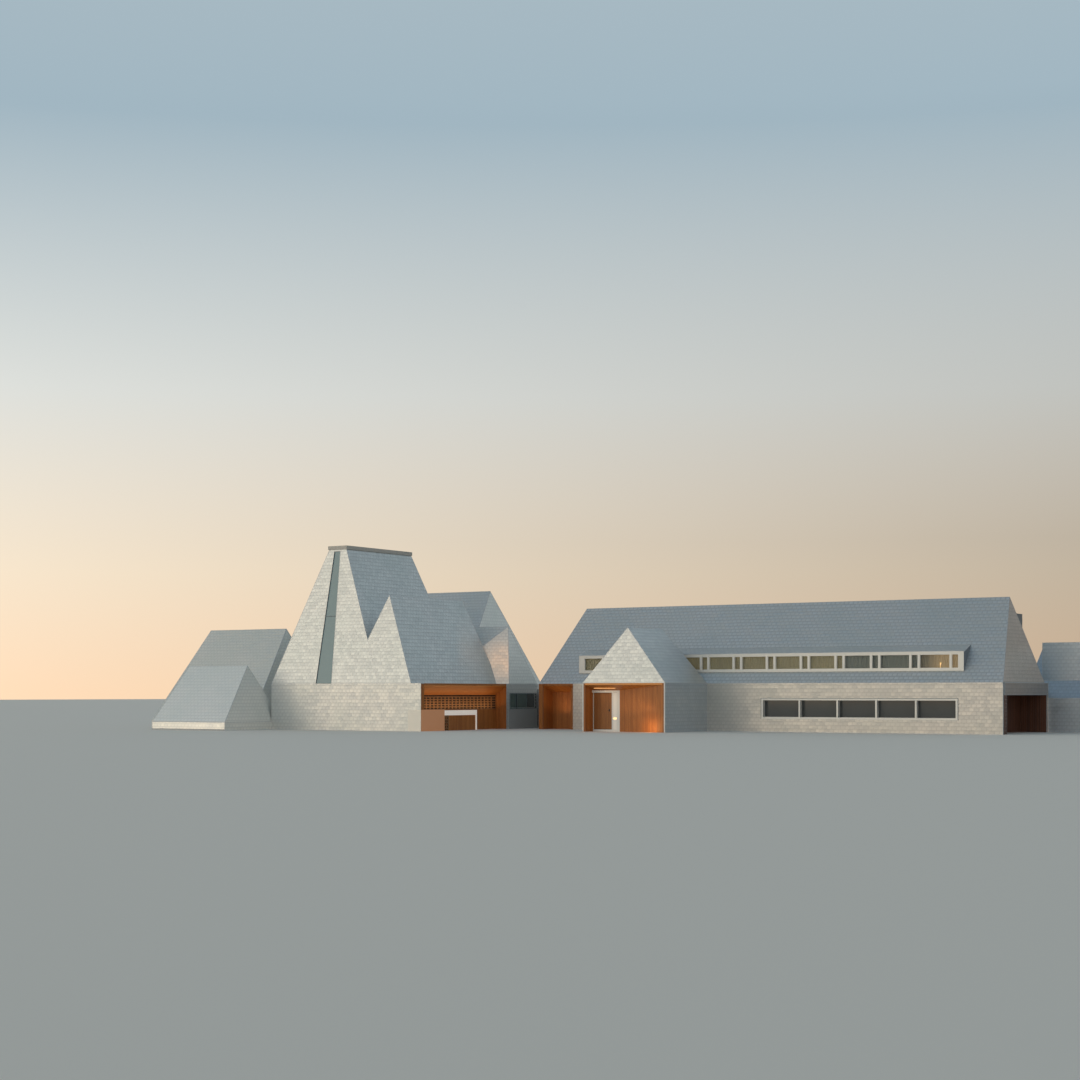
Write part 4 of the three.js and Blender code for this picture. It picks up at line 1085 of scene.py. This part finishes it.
# World: soft light, warm near the floor, brighter at the left and behind the camera
viewTurn = math.radians(32.6)  # from the wing's front
towardScene = Vector((-math.sin(viewTurn), math.cos(viewTurn), 0))
towardLeft = Vector((-math.cos(viewTurn), -math.sin(viewTurn), 0))
skySteps = {  # colour at each height, from the horizon at 0 to overhead at 1
    0.0: (1.06, 0.77, 0.52), 0.063: (0.97, 0.82, 0.63), 0.155: (0.75, 0.765, 0.73), 0.29: (0.36, 0.47, 0.54),
    0.5: (0.45, 0.52, 0.55), 0.75: (0.19, 0.27, 0.345), 1.0: (0.14, 0.21, 0.285),
}
skyRanges = {  # where each share starts and ends, and its two values
    "leftGlow": (-0.62, 0.65, 0.3, 1.25), "backGlow": (0.0, 1.0, 0.0, 0.55),
    "rightShade": (-0.8, -0.45, 0.3, 1.0), "lowSky": (0.08, 0.3, 1.0, 0.0),
}
world = bpy.data.worlds.new("soft studio")
world.use_nodes = True
scene.world = world
skyTree = world.node_tree
skyCoordinates = addNode(skyTree, "ShaderNodeTexCoord")
skyAxes = addNode(skyTree, "ShaderNodeSeparateXYZ", {0: skyCoordinates.outputs["Generated"]})
skyRamp = addNode(skyTree, "ShaderNodeValToRGB", {0: skyAxes.outputs["Z"]})
for index, (position, color) in enumerate(skySteps.items()):
    if index < 2:
        step = skyRamp.color_ramp.elements[index]
        step.position = position
    else:
        step = skyRamp.color_ramp.elements.new(position)
    step.color = (*color, 1)


def skyAlong(direction):
    links = {0: skyCoordinates.outputs["Generated"], 1: direction}
    return addNode(skyTree, "ShaderNodeVectorMath", links, operation="DOT_PRODUCT").outputs["Value"]


def skyShare(value, rangeName):
    links = {0: value, **dict(enumerate(skyRanges[rangeName], 1))}
    return addNode(skyTree, "ShaderNodeMapRange", links).outputs[0]


leftward, behind = skyAlong(towardLeft), skyAlong(-towardScene)
glowSum = addNode(
    skyTree, "ShaderNodeMath", {0: skyShare(leftward, "leftGlow"), 1: skyShare(behind, "backGlow")}, operation="ADD"
)
shaded = addNode(
    skyTree, "ShaderNodeMath", {0: glowSum.outputs[0], 1: skyShare(leftward, "rightShade")}, operation="MULTIPLY"
)
glow = addNode(
    skyTree, "ShaderNodeMix", {0: skyShare(skyAxes.outputs["Z"], "lowSky"), 2: 1.0, 3: shaded.outputs[0]},
    data_type="FLOAT",
)
skyTree.links.new(skyRamp.outputs[0], skyTree.nodes["Background"].inputs["Color"])
skyTree.links.new(glow.outputs[0], skyTree.nodes["Background"].inputs["Strength"])
scene.view_settings.view_transform = "Standard"


def addLight(name, kind, place, target, energy, color, **settings):
    lamp = bpy.data.lights.new(name, kind)
    lamp.energy = energy
    lamp.color = color
    for key, value in settings.items():
        setattr(lamp, key, value)
    holder = bpy.data.objects.new(name, lamp)
    holder.location = place
    holder.rotation_euler = (Vector(target) - Vector(place)).to_track_quat("-Z", "Y").to_euler()
    scene.collection.objects.link(holder)


bayPlane = min(facadePlanes("bay_roof", "front"), key=lambda plane: plane["normal"].z)
bayCorners = bayPlane["polygons"][0]
bayCentre = sum(bayCorners, Vector()) / len(bayCorners)
bayGlowAway = 1.8
bayGlowPlace = bayCentre + towardScene.reflect(bayPlane["normal"]) * bayGlowAway  # where the bay's front mirrors it
lights = {
    "warm sky glow": {
        "kind": "SUN", "place": (-45, -38, 18), "target": (0, 0, 2), "energy": 0.64, "color": (1.0, 0.81, 0.55),
        "angle": math.radians(60),
    },
    "loggia light": {
        "kind": "AREA", "place": (outerX - 0.2, -2.6, 0.8), "target": (loggiaX, -2.6, 1.4), "energy": 8,
        "color": (1.0, 0.58, 0.25), "shape": "RECTANGLE", "size": 4.6, "size_y": 0.2,
    },
    "porch light": {
        "kind": "AREA", "place": (1.26, -2.42, 1.43), "target": (1.4, -2.4, 0), "energy": 0.6,
        "color": (1.0, 0.62, 0.3), "shape": "RECTANGLE", "size": 0.8, "size_y": 0.2,
    },
    "porch soffit light": {
        "kind": "AREA", "place": (2.3, -2.75, 0.75), "target": (2.3, -2.3, 1.5), "energy": 1.35,
        "color": (1.0, 0.62, 0.28), "shape": "RECTANGLE", "size": 1.8, "size_y": 0.2,
    },
    "porch floor light": {
        "kind": "AREA", "place": (3.15, -2.9, 0.12), "target": (3.0, -2.3, 0.25), "energy": 2.6,
        "color": (1.0, 0.6, 0.25), "size": 0.4,
    },
    "bay glow": {
        "kind": "AREA", "place": bayGlowPlace, "target": bayCentre, "energy": 3.6, "color": (1.0, 0.45, 0.13),
        "size": 1.0,
    },
    "corner light": {
        "kind": "AREA", "place": (-2.3, 0.5, 0.7), "target": (-2.3, 0.8, 1.5), "energy": 1.5,
        "color": (1.0, 0.6, 0.28), "size": 0.5,
    },
    "lamp light": {
        "kind": "POINT", "place": (11.97, frontFace + 0.118, 2.27), "target": (0, 0, 0), "energy": 0.02,
        "color": (1.0, 0.6, 0.25), "shadow_soft_size": 0.006,
    },
}
for name, settings in lights.items():
    addLight(name, **settings)
print("floor, world and", len(lights), "lights ready")

# Camera, level and shifted up, as the photograph was taken
view = {
    "place": (33.62, -57.025, 1.3), "focalPixels": 1880, "framePixels": 1080, "horizonPixels": 153.2, "sensor": 36,
    "clipEnd": 800,
}
camera = bpy.data.objects.new("camera", bpy.data.cameras.new("camera"))
scene.collection.objects.link(camera)
camera.location = view["place"]
camera.rotation_euler = (math.radians(90), 0, viewTurn)
camera.data.sensor_width = view["sensor"]
camera.data.lens = view["sensor"] * view["focalPixels"] / view["framePixels"]
camera.data.shift_y = view["horizonPixels"] / view["framePixels"]
camera.data.clip_end = view["clipEnd"]
scene.camera = camera
print("camera ready")
